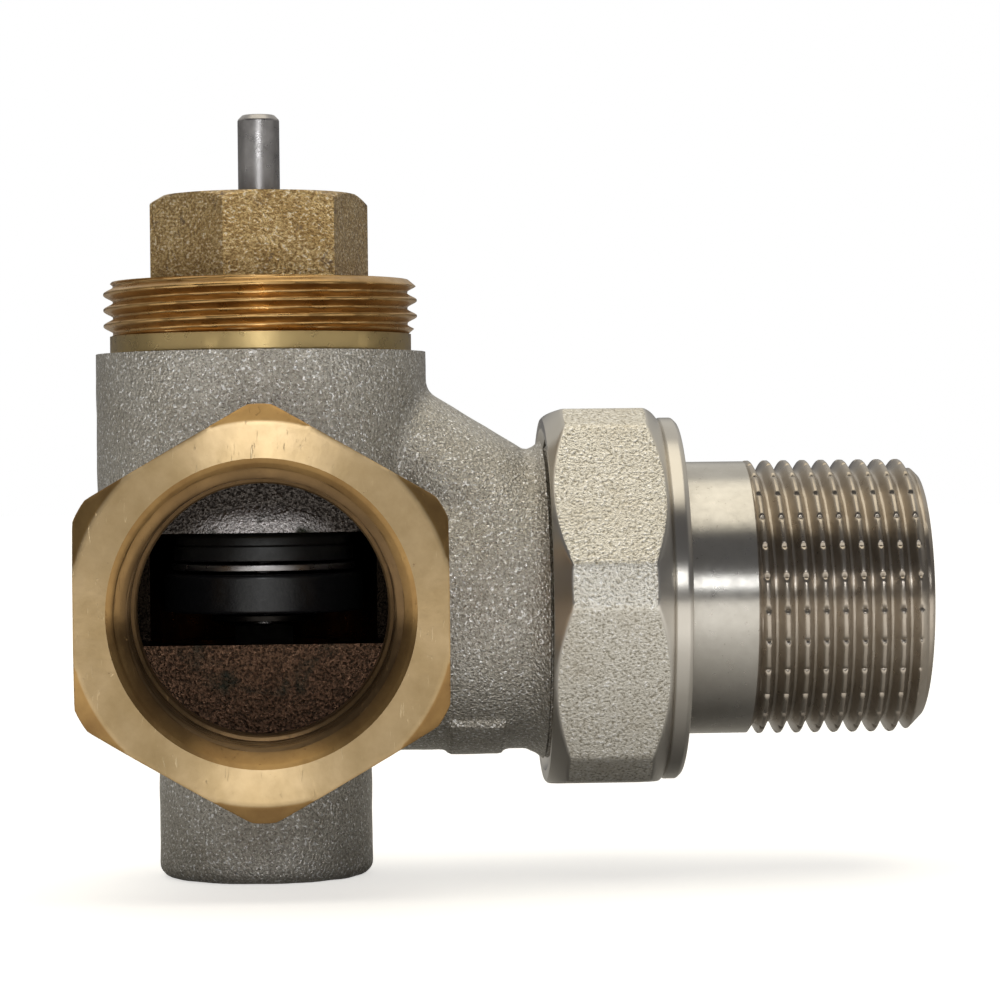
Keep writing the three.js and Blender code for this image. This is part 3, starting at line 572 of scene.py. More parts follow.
def tail_nickel():
    """The tailpiece: polished plating on the plain part and satin plating on the thread."""
    f = Finish("tailpiece nickel")
    thread = f.between(f.along(0), TAIL_THREAD_START - 0.1, TAIL_THREAD_START + 0.3)
    f.relief(f.noise(0.2, stretch=(8, 1, 1)), 0.012, 0.3)
    f.relief(f.noise(1.6, detail=3.0), 0.03, 0.25)
    cloud = f.between(f.noise(4.0, detail=5.0, roughness=0.65), 0.35, 0.7)
    plain = f.blend(cloud, (0.58, 0.555, 0.51), (0.50, 0.475, 0.43))
    cut = f.blend(cloud, (0.46, 0.41, 0.35), (0.38, 0.33, 0.27))
    colour = f.blend(thread, plain, cut)
    specks = f.between(f.noise(0.6, detail=5.0, roughness=0.75), 0.64, 0.70, 0.0, 0.8)
    colour = f.blend(specks, colour, (0.28, 0.25, 0.21))
    f.brushed(0.9, "X")
    return f.done(colour, f.between(f.noise(0.8), 0.3, 0.7, 0.27, 0.35))


def steel(name, tint, roughness, mark=(1, 1, 8)):
    """Drawn or turned metal, with marks stretched along the object's axes."""
    f = Finish(name)
    f.relief(f.noise(0.22, stretch=mark, detail=3.0), 0.02, 0.45)
    cloud = f.between(f.noise(2.5, detail=4.0), 0.4, 0.7)
    colour = f.blend(cloud, tint, tuple(0.72 * c for c in tint))
    dulled = f.between(f.noise(0.9, detail=3.0), 0.3, 0.7, roughness - 0.06, roughness + 0.08)
    return f.done(colour, dulled)


def moulded(name, tint, roughness, grain=0.16):
    """Rubber, plastic or fibre with a fine grain."""
    f = Finish(name, metallic=0.0)
    f.relief(f.noise(grain, detail=3.0, roughness=0.65), 0.03, 0.6)
    cloud = f.between(f.noise(3.0, detail=4.0), 0.4, 0.7)
    colour = f.blend(cloud, tint, tuple(0.75 * c + 0.004 for c in tint))
    dulled = f.between(f.noise(0.5), 0.3, 0.7, roughness - 0.07, roughness + 0.07)
    return f.done(colour, dulled)


# ---- casting


def meet(first, second, radius):
    """The union of two distance fields with a fillet between them."""
    radius = np.maximum(radius, 1e-3)
    share = np.clip(0.5 + 0.5 * (second - first) / radius, 0, 1)
    return second * (1 - share) + first * share - radius * share * (1 - share)


def bar_field(radial, along, radius, low, high):
    return np.maximum(radial - radius, np.maximum(low - along, along - high))


def rounded_bar_field(side, past_end, rounding):
    """A bar whose side and end meet in a rounded edge."""
    out, over = side + rounding, past_end + rounding
    corner = np.hypot(np.maximum(out, 0), np.maximum(over, 0)) + np.minimum(np.maximum(out, over), 0)
    return corner - rounding


def casing_field(upright, z, low, high):
    """The casing round the spindle, and the boss that it narrows to."""
    taper = np.interp(z, [BOSS_TOP, CASING_SHOULDER], [BOSS_RADIUS, high.y])
    sloping = (z > BOSS_TOP) & (z < CASING_SHOULDER)
    side = (upright - taper) * np.where(sloping, 0.73, 1.0)
    return np.maximum(rounded_bar_field(side, low.z - z, BOSS_ROUNDING), z - high.z - 1)


def web_field(x, y, z):
    """The rounded web that slopes from the top of the casing down to the end of the branch."""
    share = np.clip((x - RIDGE_START) / (BRANCH_END - RIDGE_START), 0, 1)
    centre = (RIDGE_TOP - RIDGE_RADIUS) * (1 - share)
    radius = RIDGE_RADIUS + (BRANCH_RADIUS - RIDGE_RADIUS) * share
    steepness = 0.86
    return bar_field(np.hypot(y, z - centre) * steepness, x, radius * steepness, 4.0, BRANCH_END)


def pad_field(x, y, z):
    """The low pad under the branch, with sloping ends."""
    half_length = (PAD["end"] - PAD["start"]) / 2
    beyond = np.abs(x - PAD["start"] - half_length) - half_length
    proud = np.hypot(y, z) - PAD["radius"]
    slope = (beyond + proud) * 0.71
    return np.maximum.reduce([proud, slope, beyond - 1.0, np.abs(y) - PAD["half_width"], z])


def casting_field(x, y, z):
    """Distance to the casting's outside: casing and boss, inlet neck, branch, web and pad."""
    low, high = extent("valve_body")
    casing = casing_field(np.hypot(x, y), z, low, high)
    neck = bar_field(np.hypot(x, z), -y, -low.x, 0, -low.y + 1)
    round_branch = np.hypot(y, z)
    branch = bar_field(round_branch, x, BRANCH_RADIUS, 0, SPIGOT_START + 1)
    flare_slope = (FLARE_RADIUS - BRANCH_RADIUS) / (SPIGOT_START - BRANCH_END)
    flare_side = (round_branch - BRANCH_RADIUS - (x - BRANCH_END) * flare_slope) * 0.77
    flare = np.maximum(flare_side, np.maximum(BRANCH_END - 0.5 - x, x - SPIGOT_START - 1))
    arms = meet(meet(branch, web_field(x, y, z), 0.5), flare, 0.6)
    arms = meet(arms, pad_field(x, y, z), 0.25)
    beside = np.clip(1 - (x / low.x) ** 4, 0, 1)
    return meet(meet(casing, neck, FILLET * beside), arms, FILLET)


def surface_net(field, low, high, step):
    """The surface where a distance field is zero: a corner in each grid cell that it crosses,
    and a quad round each grid edge that it crosses."""
    spans = [np.arange(a, b + step, step) for a, b in zip(low, high)]
    value = field(*np.meshgrid(*spans, indexing="ij"))
    crossings = [crossed_edges(value, axis) for axis in range(3)]
    corners, index = net_corners(crossings, np.array(value.shape) - 1)
    points = corners * step + np.array([s[0] for s in spans])
    faces = [net_faces(crossed, inside, axis, index) for axis, (crossed, inside, _) in enumerate(crossings)]
    return points, np.concatenate(faces)


def crossed_edges(value, axis):
    """Which grid edges along an axis the surface crosses, which of them start inside, and where."""
    near = np.take(value, range(value.shape[axis] - 1), axis)
    far = np.take(value, range(1, value.shape[axis]), axis)
    crossed = (near < 0) != (far < 0)
    share = np.where(crossed, near / np.where(crossed, near - far, 1), 0)
    return crossed, near < 0, share


def net_corners(crossings, shape):
    """The mean crossing of each crossed cell, in grid steps, and its number by cell."""
    total = np.zeros((*shape, 3))
    hits = np.zeros(tuple(shape))
    for axis, (crossed, _, share) in enumerate(crossings):
        one, two = [a for a in range(3) if a != axis]
        for shift_one, shift_two in np.ndindex(2, 2):
            window = [slice(None)] * 3
            window[one] = slice(shift_one, shift_one + shape[one])
            window[two] = slice(shift_two, shift_two + shape[two])
            found = crossed[tuple(window)]
            hits += found
            total[..., axis] += np.where(found, share[tuple(window)], 0)
            total[..., one] += found * shift_one
            total[..., two] += found * shift_two
    mixed = hits > 0
    index = np.full(tuple(shape), -1)
    index[mixed] = np.arange(mixed.sum())
    return np.argwhere(mixed) + total[mixed] / hits[mixed][:, None], index


def net_faces(crossed, inside, axis, index):
    """A quad through the four cells round each crossed edge, facing outwards."""
    across = [(axis + 1) % 3, (axis + 2) % 3]
    at = np.argwhere(crossed)
    limit = np.array(index.shape)[across]
    at = at[(at[:, across] > 0).all(1) & (at[:, across] < limit).all(1)]
    corners = []
    for back in ((1, 1), (0, 1), (0, 0), (1, 0)):
        spot = at.copy()
        spot[:, across] -= back
        corners.append(index[tuple(spot.T)])
    quads = np.stack(corners, -1)
    flip = ~inside[tuple(at.T)]
    quads[flip] = quads[flip][:, ::-1]
    return quads


def settle(points, field, rounds=3, nudge=0.02):
    """Moves points onto the surface of a distance field along its slope."""
    shifts = nudge * np.eye(3)
    for _ in range(rounds):
        here = field(*points.T)
        slope = np.stack([(field(*(points + shift).T) - here) / nudge for shift in shifts], -1)
        points = points - slope * (here / np.maximum((slope**2).sum(1), 0.2))[:, None]
    return points


def skin_wave(x, y, z):
    """The slight unevenness of a sand casting, as a few crossed waves that only dip inwards."""
    broad = np.sin(1.1 * x + 0.7 * y + 0.4) * np.sin(0.9 * z - 0.5 * x)
    wave = broad + 0.6 * np.sin(2.3 * y + 1.7 * z + 1.0)
    return SKIN_WAVE * (wave / 1.6 - 1)


def box_piece(name, low, high):
    sides = list(zip(low, high))
    corners = [(x, y, z) for x in sides[0] for y in sides[1] for z in sides[2]]
    faces = [(0, 1, 3, 2), (4, 6, 7, 5), (0, 4, 5, 1), (2, 3, 7, 6), (0, 2, 6, 4), (1, 5, 7, 3)]
    return mesh_piece(name, np.array(corners) * MM, faces)


def casting(material, brass):
    low, high = extent("valve_body")
    piece = rough_casting(low, high)
    piece.data.materials.append(material)
    trim_ends(piece, low, high)
    combine(piece, spigot(high), "UNION")
    for tool, operation in inlet_tools(low):
        cut_with(piece, tool, operation, material)
    for tool in waterways(high):
        cut_with(piece, tool, "DIFFERENCE", brass)
    smooth(piece, 32)
    weigh_normals(piece)
    return stand_for(piece, "valve_body")


def rough_casting(low, high):
    """The skin of the casting, a little past its machined ends."""
    def uneven(x, y, z):
        return casting_field(x, y, z) - skin_wave(x, y, z)

    margin = 1.2
    start, end = [v - margin for v in low], [v + margin for v in high]
    points, faces = surface_net(uneven, start, end, CASTING_STEP)
    return mesh_piece("valve_body_casting", settle(points, uneven) * MM, faces)


def trim_ends(piece, low, high):
    above = 3.0
    wide = 60.0
    for name, tool_low, tool_high in (
        ("above the rim", (-wide, -wide, high.z), (wide, wide, high.z + above)),
        ("beyond the neck", (-wide, low.y - above, -wide), (wide, low.y, wide)),
        ("beyond the branch", (SPIGOT_START, -wide, -wide), (wide, wide, wide)),
    ):
        combine(piece, box_piece(name, tool_low, tool_high), "DIFFERENCE")


def cut_with(piece, tool, operation, material):
    """Combines with a tool whose faces leave their own material behind."""
    tool.modifiers.clear()
    tool.data.materials.append(material)
    combine(piece, tool, operation)


def spigot(high):
    """The threaded end that the union nut screws onto."""
    angles = even_angles()
    start = SPIGOT_START - 0.3
    rows = [(0.0, start), (UNION_THREAD["root"], start)]
    for height in thread_heights(start + 0.4, high.x - 0.02, UNION_THREAD):
        cone = UNION_THREAD["root"] - 0.4 + (high.x - height)
        rows.append((soft_min(thread_radius(angles, height, UNION_THREAD), cone), height))
    rows.append((0.0, high.x))
    return rows_piece("spigot", rows, "X", angles)


def bulge():
    """The low, lens-shaped swelling of the partition over the window."""
    radii = np.linspace(0, 1, 16)
    front = [(r, 1 - r * r) for r in radii]
    swelling = rows_piece("bulge", front + [(1.0, -0.5), (0.0, -0.5)], "-Y")
    for corner in swelling.data.vertices:
        corner.co.x *= BULGE["half_width"]
        corner.co.y = corner.co.y * BULGE["proud"] - PARTITION_FACE * MM
        corner.co.z = corner.co.z * BULGE["height"] + WINDOW["top"] * MM
    return swelling


def inlet_tools(low):
    """What shapes the inlet's end: its bore, the swelling on the partition, and the window."""
    start, end = PARTITION_FACE, CUT_PAST - low.y
    port = turned("port", [(0, start), (NECK_BORE, start), (NECK_BORE, end), (0, end)], "-Y")
    window = box_piece(
        "window", (-WINDOW["half_width"], -PARTITION_FACE - CUT_PAST, WINDOW["bottom"]),
        (WINDOW["half_width"], WINDOW["end"], WINDOW["top"]))
    return (port, "DIFFERENCE"), (bulge(), "UNION"), (window, "DIFFERENCE")


def waterways(high):
    """Cutters for the bores: the valve axis, the branch, and the duct from the lower chamber."""
    axial = turned("axial bore", [
        (0, LOWER_CHAMBER["floor"]), (LOWER_CHAMBER["radius"], LOWER_CHAMBER["floor"]),
        (LOWER_CHAMBER["radius"], SEAT["underside"]), (SEAT["bore"], SEAT["underside"]),
        (SEAT["bore"], SEAT["top"]), (SEAT["rim"], SEAT["top"]), (SEAT["rim"], SEAT["floor"]),
        (UPPER_CHAMBER, SEAT["floor"]), (UPPER_CHAMBER, BONNET_BORE["floor"]),
        (BONNET_BORE["radius"], BONNET_BORE["floor"]), (BONNET_BORE["radius"], high.z + CUT_PAST),
        (0, high.z + CUT_PAST)])
    branch = turned("branch bore", [
        (0, BRANCH_BORE["start"]), (BRANCH_BORE["radius"], BRANCH_BORE["start"]),
        (BRANCH_BORE["radius"], high.x + CUT_PAST), (0, high.x + CUT_PAST)], "X")
    duct = rows_piece("duct", [(0, 0), (1, 0), (1, DUCT["end"]), (0, DUCT["end"])], "X")
    for corner in duct.data.vertices:
        corner.co.y *= DUCT["half_width"]
        corner.co.z = corner.co.z * DUCT["half_height"] + DUCT["centre"] * MM
    return [axial, branch, duct]


# ---- inlet


def inlet_socket(material):
    low, high = extent("inlet_socket")
    face, spigot_end = -low.y, -high.y
    angles = angles_with(np.radians(HEX_CORNERS), 216)
    flats = hexagon_radius(angles, high.x - low.x, 0.0)

    def outline(height):
        front = HEX_FACE_RADIUS + HEX_CHAMFER_SLOPE * (face - height)
        rear = HEX_FACE_RADIUS + HEX_CHAMFER_SLOPE * (height - HEX_BACK)
        return soft_min(flats, front, rear, HEX_CORNER_RADIUS, edge=0.05)

    spigot_radius = NECK_BORE - 0.3
    chamfer = 0.2
    rows = [
        (SOCKET_BORE, spigot_end), (spigot_radius - chamfer, spigot_end),
        (spigot_radius, spigot_end + chamfer), (spigot_radius, HEX_BACK),
        (outline(HEX_BACK) - EDGE, HEX_BACK)]
    rows += [(outline(height), height) for height in np.linspace(HEX_BACK, face - 0.05, 72)]
    rows += [(outline(face) - EDGE, face), (outline(face) - 3 * EDGE, face)]
    rows += [(SOCKET_ENTRY + 3 * EDGE, face), (SOCKET_ENTRY + EDGE, face), (SOCKET_ENTRY, face - 0.1)]
    for height in thread_heights(SOCKET_LIP + 0.5, face - 0.25, SOCKET_THREAD)[::-1]:
        cone = SOCKET_ENTRY - (face - height)
        thread = thread_radius(angles, height, SOCKET_THREAD)
        run_out = SOCKET_THREAD["crest"] + np.clip((height - SOCKET_LIP - 0.8) / 1.5, 0, 1) * 1.2
        rows.append((soft_max(np.minimum(thread, run_out), cone, edge=0.05), height))
    rows.append((SOCKET_THREAD["crest"], SOCKET_LIP))
    rows += [(SOCKET_BORE + EDGE, SOCKET_LIP), (SOCKET_BORE, SOCKET_LIP - EDGE)]
    piece = rows_piece("inlet_socket_turned", rows, "-Y", angles)
    smooth(piece, 24)
    return stand_for(piece, "inlet_socket", material)


def plain_ring(node, bore, material, axis="Z"):
    """A washer, gasket or other flat ring, its outside taken from its CAD box."""
    low, high = extent(node)
    start, end = {"Z": (low.z, high.z), "-Y": (-high.y, -low.y), "X": (low.x, high.x)}[axis]
    radius = high.x if axis != "X" else high.y
    corners = [(bore, start), (radius, start), (radius, end), (bore, end)]
    return stand_for(turned(node + "_ring", corners, axis, edge=0.1), node, material)


def seal_ring(node, material):
    """An O-ring about the valve axis."""
    low, high = extent(node)
    section = (high.z - low.z) / 2
    middle, centre = high.x - section, (high.z + low.z) / 2
    rows = [(middle + section * math.cos(a), centre + section * math.sin(a)) for a in even_angles(24)]
    return stand_for(rows_piece(node + "_torus", rows), node, material)


# ---- bonnet and gland


def bonnet(material):
    low, high = extent("bonnet")
    angles = angles_with(BONNET_TURN + np.radians(HEX_CORNERS), 216)
    shank, nose, seal_groove, clip_groove = 12.9, 10.2, 11.5, 8.9
    body_rim = extent("valve_body")[1].z
    bush_bore = 8.2
    rows = rounded_open([
        (bush_bore, 8.1), (bush_bore, low.z), (nose, low.z), (nose, 15.9), (shank, 15.9), (shank, 20.6),
        (seal_groove, 20.6), (seal_groove, 22.9), (shank, 22.9), (shank, body_rim - 0.4),
        (COLLAR_RADIUS, body_rim + 0.05), (COLLAR_RADIUS, COLLAR_TOP)])
    rows += head_thread_rows(angles) + bonnet_hexagon_rows(angles, high.z)
    rows += rounded_open([
        (GLAND_BORE + 0.6, high.z), (GLAND_BORE, high.z - 0.6), (GLAND_BORE, GLAND_FLOOR),
        (3.0, GLAND_FLOOR), (3.0, 27.2), (SPRING_BORE, 27.2), (SPRING_BORE, BUSH_STEP),
        (bush_bore, BUSH_STEP), (bush_bore, 9.3), (clip_groove, 9.3), (clip_groove, 8.1)])
    piece = rows_piece("bonnet_turned", rows, "Z", angles)
    weigh_normals(piece)
    return stand_for(piece, "bonnet", material)


def head_thread_rows(angles):
    rows = []
    slope = 1.2
    for height in thread_heights(COLLAR_TOP, HEAD_FACE, HEAD_THREAD):
        top_cone = HEAD_THREAD["root"] + (HEAD_FACE - height) * slope + 0.1
        low_cone = HEAD_THREAD["root"] + (height - COLLAR_TOP) * slope
        thread = thread_radius(angles, height, HEAD_THREAD)
        rows.append((soft_min(thread, top_cone, low_cone, edge=0.05), height))
    return rows + [(HEAD_THREAD["root"] - 0.3, HEAD_FACE)]


def bonnet_hexagon_rows(angles, top):
    """The hexagon above the head thread, with a small fillet at its foot and a chamfered top."""
    flats = hexagon_radius(angles, BONNET_FLATS, BONNET_TURN)
    fillet = 0.25
    rows = []
    for height in np.concatenate([[0.0, 0.05, 0.12, 0.25], np.linspace(0.5, top - HEAD_FACE, 60)]):
        cone = BONNET_TOP_RADIUS + HEX_CHAMFER_SLOPE * (top - HEAD_FACE - height)
        foot = max(0.0, fillet - height) ** 2 / fillet
        rows.append((soft_min(flats, cone, edge=0.06) + foot, HEAD_FACE + height))
    return rows + [(BONNET_TOP_RADIUS - 2 * EDGE, top)]


def rounded_open(corners):
    """As rounded(), for a stretch of outline whose two ends stay as they are."""
    per_corner = ARC_STEPS + 1
    inner = rounded(corners, EDGE)[per_corner:-per_corner]
    return [tuple(corners[0])] + inner + [tuple(corners[-1])]


def slotted(piece, low, high):
    """Cuts a box out of a turned piece."""
    piece.modifiers.clear()
    combine(piece, box_piece("slot", low, high), "DIFFERENCE")
    smooth(piece)
    weigh_normals(piece)
    return piece


def gland_cartridge(material):
    """The plug that seals the pin, with a screwdriver slot across its top."""
    low, high = extent("gland_cartridge")
    outer, groove, recess = high.x, 5.0, 3.7
    recess_top, slot_depth, half_slot = 32.6, 1.0, 0.8
    groove_low, groove_high = 33.4, 34.8
    piece = turned("gland_cartridge_turned", [
        (recess, low.z), (outer, low.z), (outer, groove_low), (groove, groove_low), (groove, groove_high),
        (outer, groove_high), (outer, high.z), (PIN_HOLE + 0.6, high.z), (PIN_HOLE, high.z - 0.6),
        (PIN_HOLE, recess_top), (recess, recess_top)])
    reach = 2 * outer
    slotted(piece, (-reach, -half_slot, high.z - slot_depth), (reach, half_slot, high.z + CUT_PAST))
    return stand_for(piece, "gland_cartridge", material)


def guide_bush(material):
    low, high = extent("guide_bush")
    flange_top = BUSH_STEP - 0.3
    piece = turned("guide_bush_turned", [
        (PIN_HOLE, low.z), (high.x, low.z), (high.x, flange_top), (PILOT_RADIUS, flange_top),
        (PILOT_RADIUS, high.z), (PIN_HOLE, high.z)])
    return stand_for(piece, "guide_bush", material)


def snap_ring(node, size, material):
    """A flat spring ring with a slot through its +X side."""
    low, high = extent(node)
    bore, radius, half_slot = size["bore"], size["radius"], size["slot_half_width"]
    corners = [(bore, low.z), (radius, low.z), (radius, high.z), (bore, high.z)]
    piece = turned(node + "_ring", corners, edge=0.08)
    slotted(piece, (0, -half_slot, low.z - CUT_PAST), (radius + CUT_PAST, half_slot, high.z + CUT_PAST))
    return stand_for(piece, node, material)


def return_spring(material):
    """A round wire coiled between the guide bush and the spring cup; its ends lie nearly flat."""
    low = BUSH_STEP + SPRING["wire"]
    high = extent("spring_cup")[0].z + CUP_FLANGE - 0.3 - SPRING["wire"]
    steps, sides = SPRING["turns"] * 48, 16
    rings = []
    for t in np.linspace(0, 1, steps + 1):
        angle = 2 * math.pi * SPRING["turns"] * t
        eased = t + SPRING["flat_share"] * (t * t * (3 - 2 * t) - t)
        out = np.array([math.cos(angle), math.sin(angle), 0.0])
        centre = SPRING["mean"] * out + np.array([0, 0, low + (high - low) * eased])
        section = even_angles(sides)
        wire = out * np.cos(section)[:, None] + np.array([0, 0, 1.0]) * np.sin(section)[:, None]
        rings.append(centre + SPRING["wire"] * wire)
    points = np.concatenate(rings)
    faces = []
    for a in range(steps):
        near, far = a * sides, (a + 1) * sides
        for b in range(sides):
            beside = (b + 1) % sides
            faces.append((near + b, near + beside, far + beside, far + b))
    ends = [tuple(range(sides))[::-1], tuple(range(steps * sides, (steps + 1) * sides))]
    piece = mesh_piece("return_spring_coil", points * MM, faces + ends)
    piece.data.materials.append(material)
    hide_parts("return_spring")
    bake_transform(piece)
    return piece


# ---- pin, spindle and valve disc


def pressure_pin(material):
    low, high = extent("pressure_pin")
    chamfer = 0.5
    piece = turned("pressure_pin_turned", [
        (0, low.z), (high.x, low.z), (high.x, GLAND_FLOOR), (PIN_RADIUS, GLAND_FLOOR),
        (PIN_RADIUS, high.z - chamfer), (PIN_RADIUS - chamfer, high.z), (0, high.z)])
    return stand_for(piece, "pressure_pin", material)


def valve_spindle(material):
    low, high = extent("valve_spindle")
    shoulder, collar_top, groove = 7.1, 7.8, 1.5
    groove_low, groove_high = 26.0, 26.8
    piece = turned("valve_spindle_turned", [
        (0, low.z), (STUD_RADIUS - 0.3, low.z), (STUD_RADIUS, low.z + 0.3), (STUD_RADIUS, shoulder),
        (high.x, shoulder), (high.x, collar_top), (PIN_RADIUS, collar_top), (PIN_RADIUS, groove_low),
        (groove, groove_low), (groove, groove_high), (PIN_RADIUS, groove_high), (PIN_RADIUS, high.z),
        (0, high.z)])
    return stand_for(piece, "valve_spindle", material)


def spring_cup(material):
    low, high = extent("spring_cup")
    flange_bottom = low.z + CUP_FLANGE
    piece = turned("spring_cup_turned", [
        (PIN_HOLE, low.z), (PILOT_RADIUS, low.z), (PILOT_RADIUS, flange_bottom), (high.x, flange_bottom),
        (high.x, high.z), (PIN_HOLE, high.z)])
    return stand_for(piece, "spring_cup", material)


def disc_holder(material):
    low, high = extent("disc_holder")
    groove = high.z - 1.1
    piece = turned("disc_holder_moulded", [
        (STUD_HOLE, low.z), (high.x, low.z), (high.x, groove - 0.1), (high.x - 0.2, groove),
        (high.x - 0.2, high.z - 0.3), (high.x - 0.5, high.z), (STUD_HOLE, high.z)])
    return stand_for(piece, "disc_holder", material)


def seal_disc(material):
    low, high = extent("seal_disc")
    piece = turned("seal_disc_moulded", [
        (STUD_HOLE, low.z), (high.x, low.z), (high.x, high.z), (STUD_HOLE, high.z)], edge=0.4)
    return stand_for(piece, "seal_disc", material)


def disc_nut(material):
    low, high = extent("disc_nut")
    across = high.x - low.x
    angles = angles_with(np.radians(HEX_CORNERS), 72)
    flats = hexagon_radius(angles, across, 0.0)
    rows = [(STUD_HOLE, low.z + 0.1), (STUD_HOLE + 0.1, low.z)]
    for height in np.linspace(low.z, high.z, 18):
        trim = across / 2 + 0.05 + 1.8 * min(height - low.z, high.z - height)
        rows.append((soft_min(flats, trim, edge=0.04), height))
    rows += [(STUD_HOLE + 0.1, high.z), (STUD_HOLE, high.z - 0.1)]
    piece = rows_piece("disc_nut_faceted", rows, "Z", angles)
    weigh_normals(piece)
    return stand_for(piece, "disc_nut", material)


# ---- union


def union_nut(material):
    """A hexagon with its corners planed off, and a collar at the front."""
    low, high = extent("union_nut")
    back, face = low.x, high.x
    corner_half_flat = math.sqrt(3) * (NUT_FLATS / math.sqrt(3) - NUT_CORNER_FLATS / 2)
    edge_angle = math.atan(corner_half_flat / (NUT_CORNER_FLATS / 2))
    corners = [NUT_TURN + math.pi / 3 * i + side * edge_angle for i in range(6) for side in (-1, 1)]
    angles = angles_with(corners, 216)
    flats = hexagon_radius(angles, NUT_FLATS, NUT_TURN + math.pi / 6)
    facets = hexagon_radius(angles, NUT_CORNER_FLATS, NUT_TURN)
    thread_end, relief_end = 34.5, 35.0
    rows = []
    for height in thread_heights(back + 0.3, thread_end, NUT_THREAD)[::-1]:
        thread = thread_radius(angles, height, NUT_THREAD)
        entry = NUT_THREAD["root"] + 0.5 - (height - back)
        rows.append((soft_max(thread, entry, edge=0.05), height))
    rows += [(NUT_THREAD["root"] + 0.5, back), (NUT_RING_RADIUS - 2 * EDGE, back)]
    for height in np.linspace(back, NUT_HEX_END, 90):
        rear = NUT_RING_RADIUS + NUT_CHAMFER_SLOPE * (height - back)
        front = NUT_RING_RADIUS + NUT_CHAMFER_SLOPE * (NUT_HEX_END - height)
        rows.append((soft_min(flats, facets, rear, front, edge=0.08), height))
    rows += rounded_open([
        (NUT_RING_RADIUS - 0.25, NUT_HEX_END + 0.12), (NUT_RING_RADIUS, NUT_HEX_END + 0.3),
        (NUT_RING_RADIUS, face - 0.45), (NUT_RING_RADIUS - 0.45, face), (NUT_BORE + 0.5, face),
        (NUT_BORE, face - 0.5), (NUT_BORE, NUT_SHOULDER), (NUT_THREAD["root"], NUT_SHOULDER),
        (NUT_THREAD["root"], relief_end)])
    piece = rows_piece("union_nut_faceted", rows, "X", angles)
    weigh_normals(piece)
    return stand_for(piece, "union_nut", material)


def tailpiece(material):
    """The threaded tail, with two key lugs in its bore."""
    low, high = extent("tailpiece")
    angles = even_angles(NICKS * 16)
    nick = np.exp(-(((angles * NICKS / (2 * math.pi)) % 1 - 0.5) / NICK_WIDTH) ** 2)
    nicked = PIPE_THREAD["crest"] - NICK_DEPTH * nick
    rows = rounded_open([
        (TAIL_BORE, low.x + 0.3), (TAIL_BORE, low.x), (high.y, low.x), (high.y, TAIL_COLLAR_FRONT),
        (TAIL_RADIUS, TAIL_COLLAR_FRONT), (TAIL_RADIUS, TAIL_THREAD_START - 0.15)])
    for height in thread_heights(TAIL_THREAD_START, high.x - 0.05, PIPE_THREAD):
        chamfer = TAIL_FACE_RADIUS + (high.x - height)
        start_cut = TAIL_RADIUS - 1.4 * (height - TAIL_THREAD_START)
        thread = soft_min(thread_radius(angles, height, PIPE_THREAD), nicked, edge=0.04)
        thread = soft_max(thread, start_cut, edge=0.04)
        rows.append((soft_min(thread, chamfer, edge=0.06), height))
    rows += rounded_open([
        (TAIL_FACE_RADIUS - 0.1, high.x), (TAIL_BORE, high.x), (TAIL_BORE, high.x - 0.4)])
    piece = rows_piece("tailpiece_threaded", rows, "X", angles)
    for side in (-1, 1):
        inner, outer = sorted((side * (TAIL_BORE - LUG["depth"]), side * (TAIL_BORE + 0.4)))
        lug = box_piece(
            "lug", (LUG["start"], -LUG["half_width"], inner), (LUG["end"], LUG["half_width"], outer))
        combine(piece, lug, "UNION")
    smooth(piece)
    weigh_normals(piece)
    return stand_for(piece, "tailpiece", material)


# ---- stage, light and camera


def backdrop():
    """A wide pale floor at the object's foot."""
    height, half = cad_box[0][2], FLOOR_HALF
    corners = [(-half, -half, height), (half, -half, height), (half, half, height), (-half, half, height)]
    sheet = bpy.data.meshes.new("backdrop")
    sheet.from_pydata(corners, [], [(0, 1, 2, 3)])
    floor = bpy.data.objects.new("backdrop", sheet)
    bpy.context.scene.collection.objects.link(floor)
    floor.data.materials.append(lit_paper())


def lit_paper():
    """Pale paper that glows, less so round the object's foot and behind it. It lights the object
    from below as little as the photo's floor does, while it looks evenly pale itself."""
    f = Finish("pale lit paper", metallic=0.0)
    f.surface.inputs["Specular IOR Level"].default_value = 0.0
    f.surface.inputs["Emission Color"].default_value = (1.0, 0.985, 0.955, 1)
    from_middle = f.maths("ABSOLUTE", f.maths("SUBTRACT", f.along(0), FOOTPRINT["middle"]))
    past_end = f.maths("MAXIMUM", f.maths("SUBTRACT", from_middle, FOOTPRINT["half_length"]), 0.0)
    away = f.maths("SQRT", f.squares(past_end, f.along(1)))
    glow = f.between(away, 0.0, PAPER_GLOW["reach"], PAPER_GLOW["near"], PAPER_GLOW["far"])
    behind = f.between(f.along(1), -30.0, 10.0, 1.0, PAPER_GLOW["behind"])
    seen = f.node("ShaderNodeLightPath").outputs["Is Camera Ray"]
    looks = f.maths("MULTIPLY", seen, PAPER_GLOW["seen"])
    strength = f.maths("MAXIMUM", f.maths("MULTIPLY", glow, behind), looks)
    f.feed(f.surface.inputs["Emission Strength"], strength)
    grain = f.between(f.noise(40.0, detail=3.0), 0.3, 0.7)
    pale = f.blend(grain, (0.88, 0.878, 0.87), (0.86, 0.858, 0.85))
    return f.done(f.blend(seen, (0.38, 0.375, 0.365), pale), 0.9)


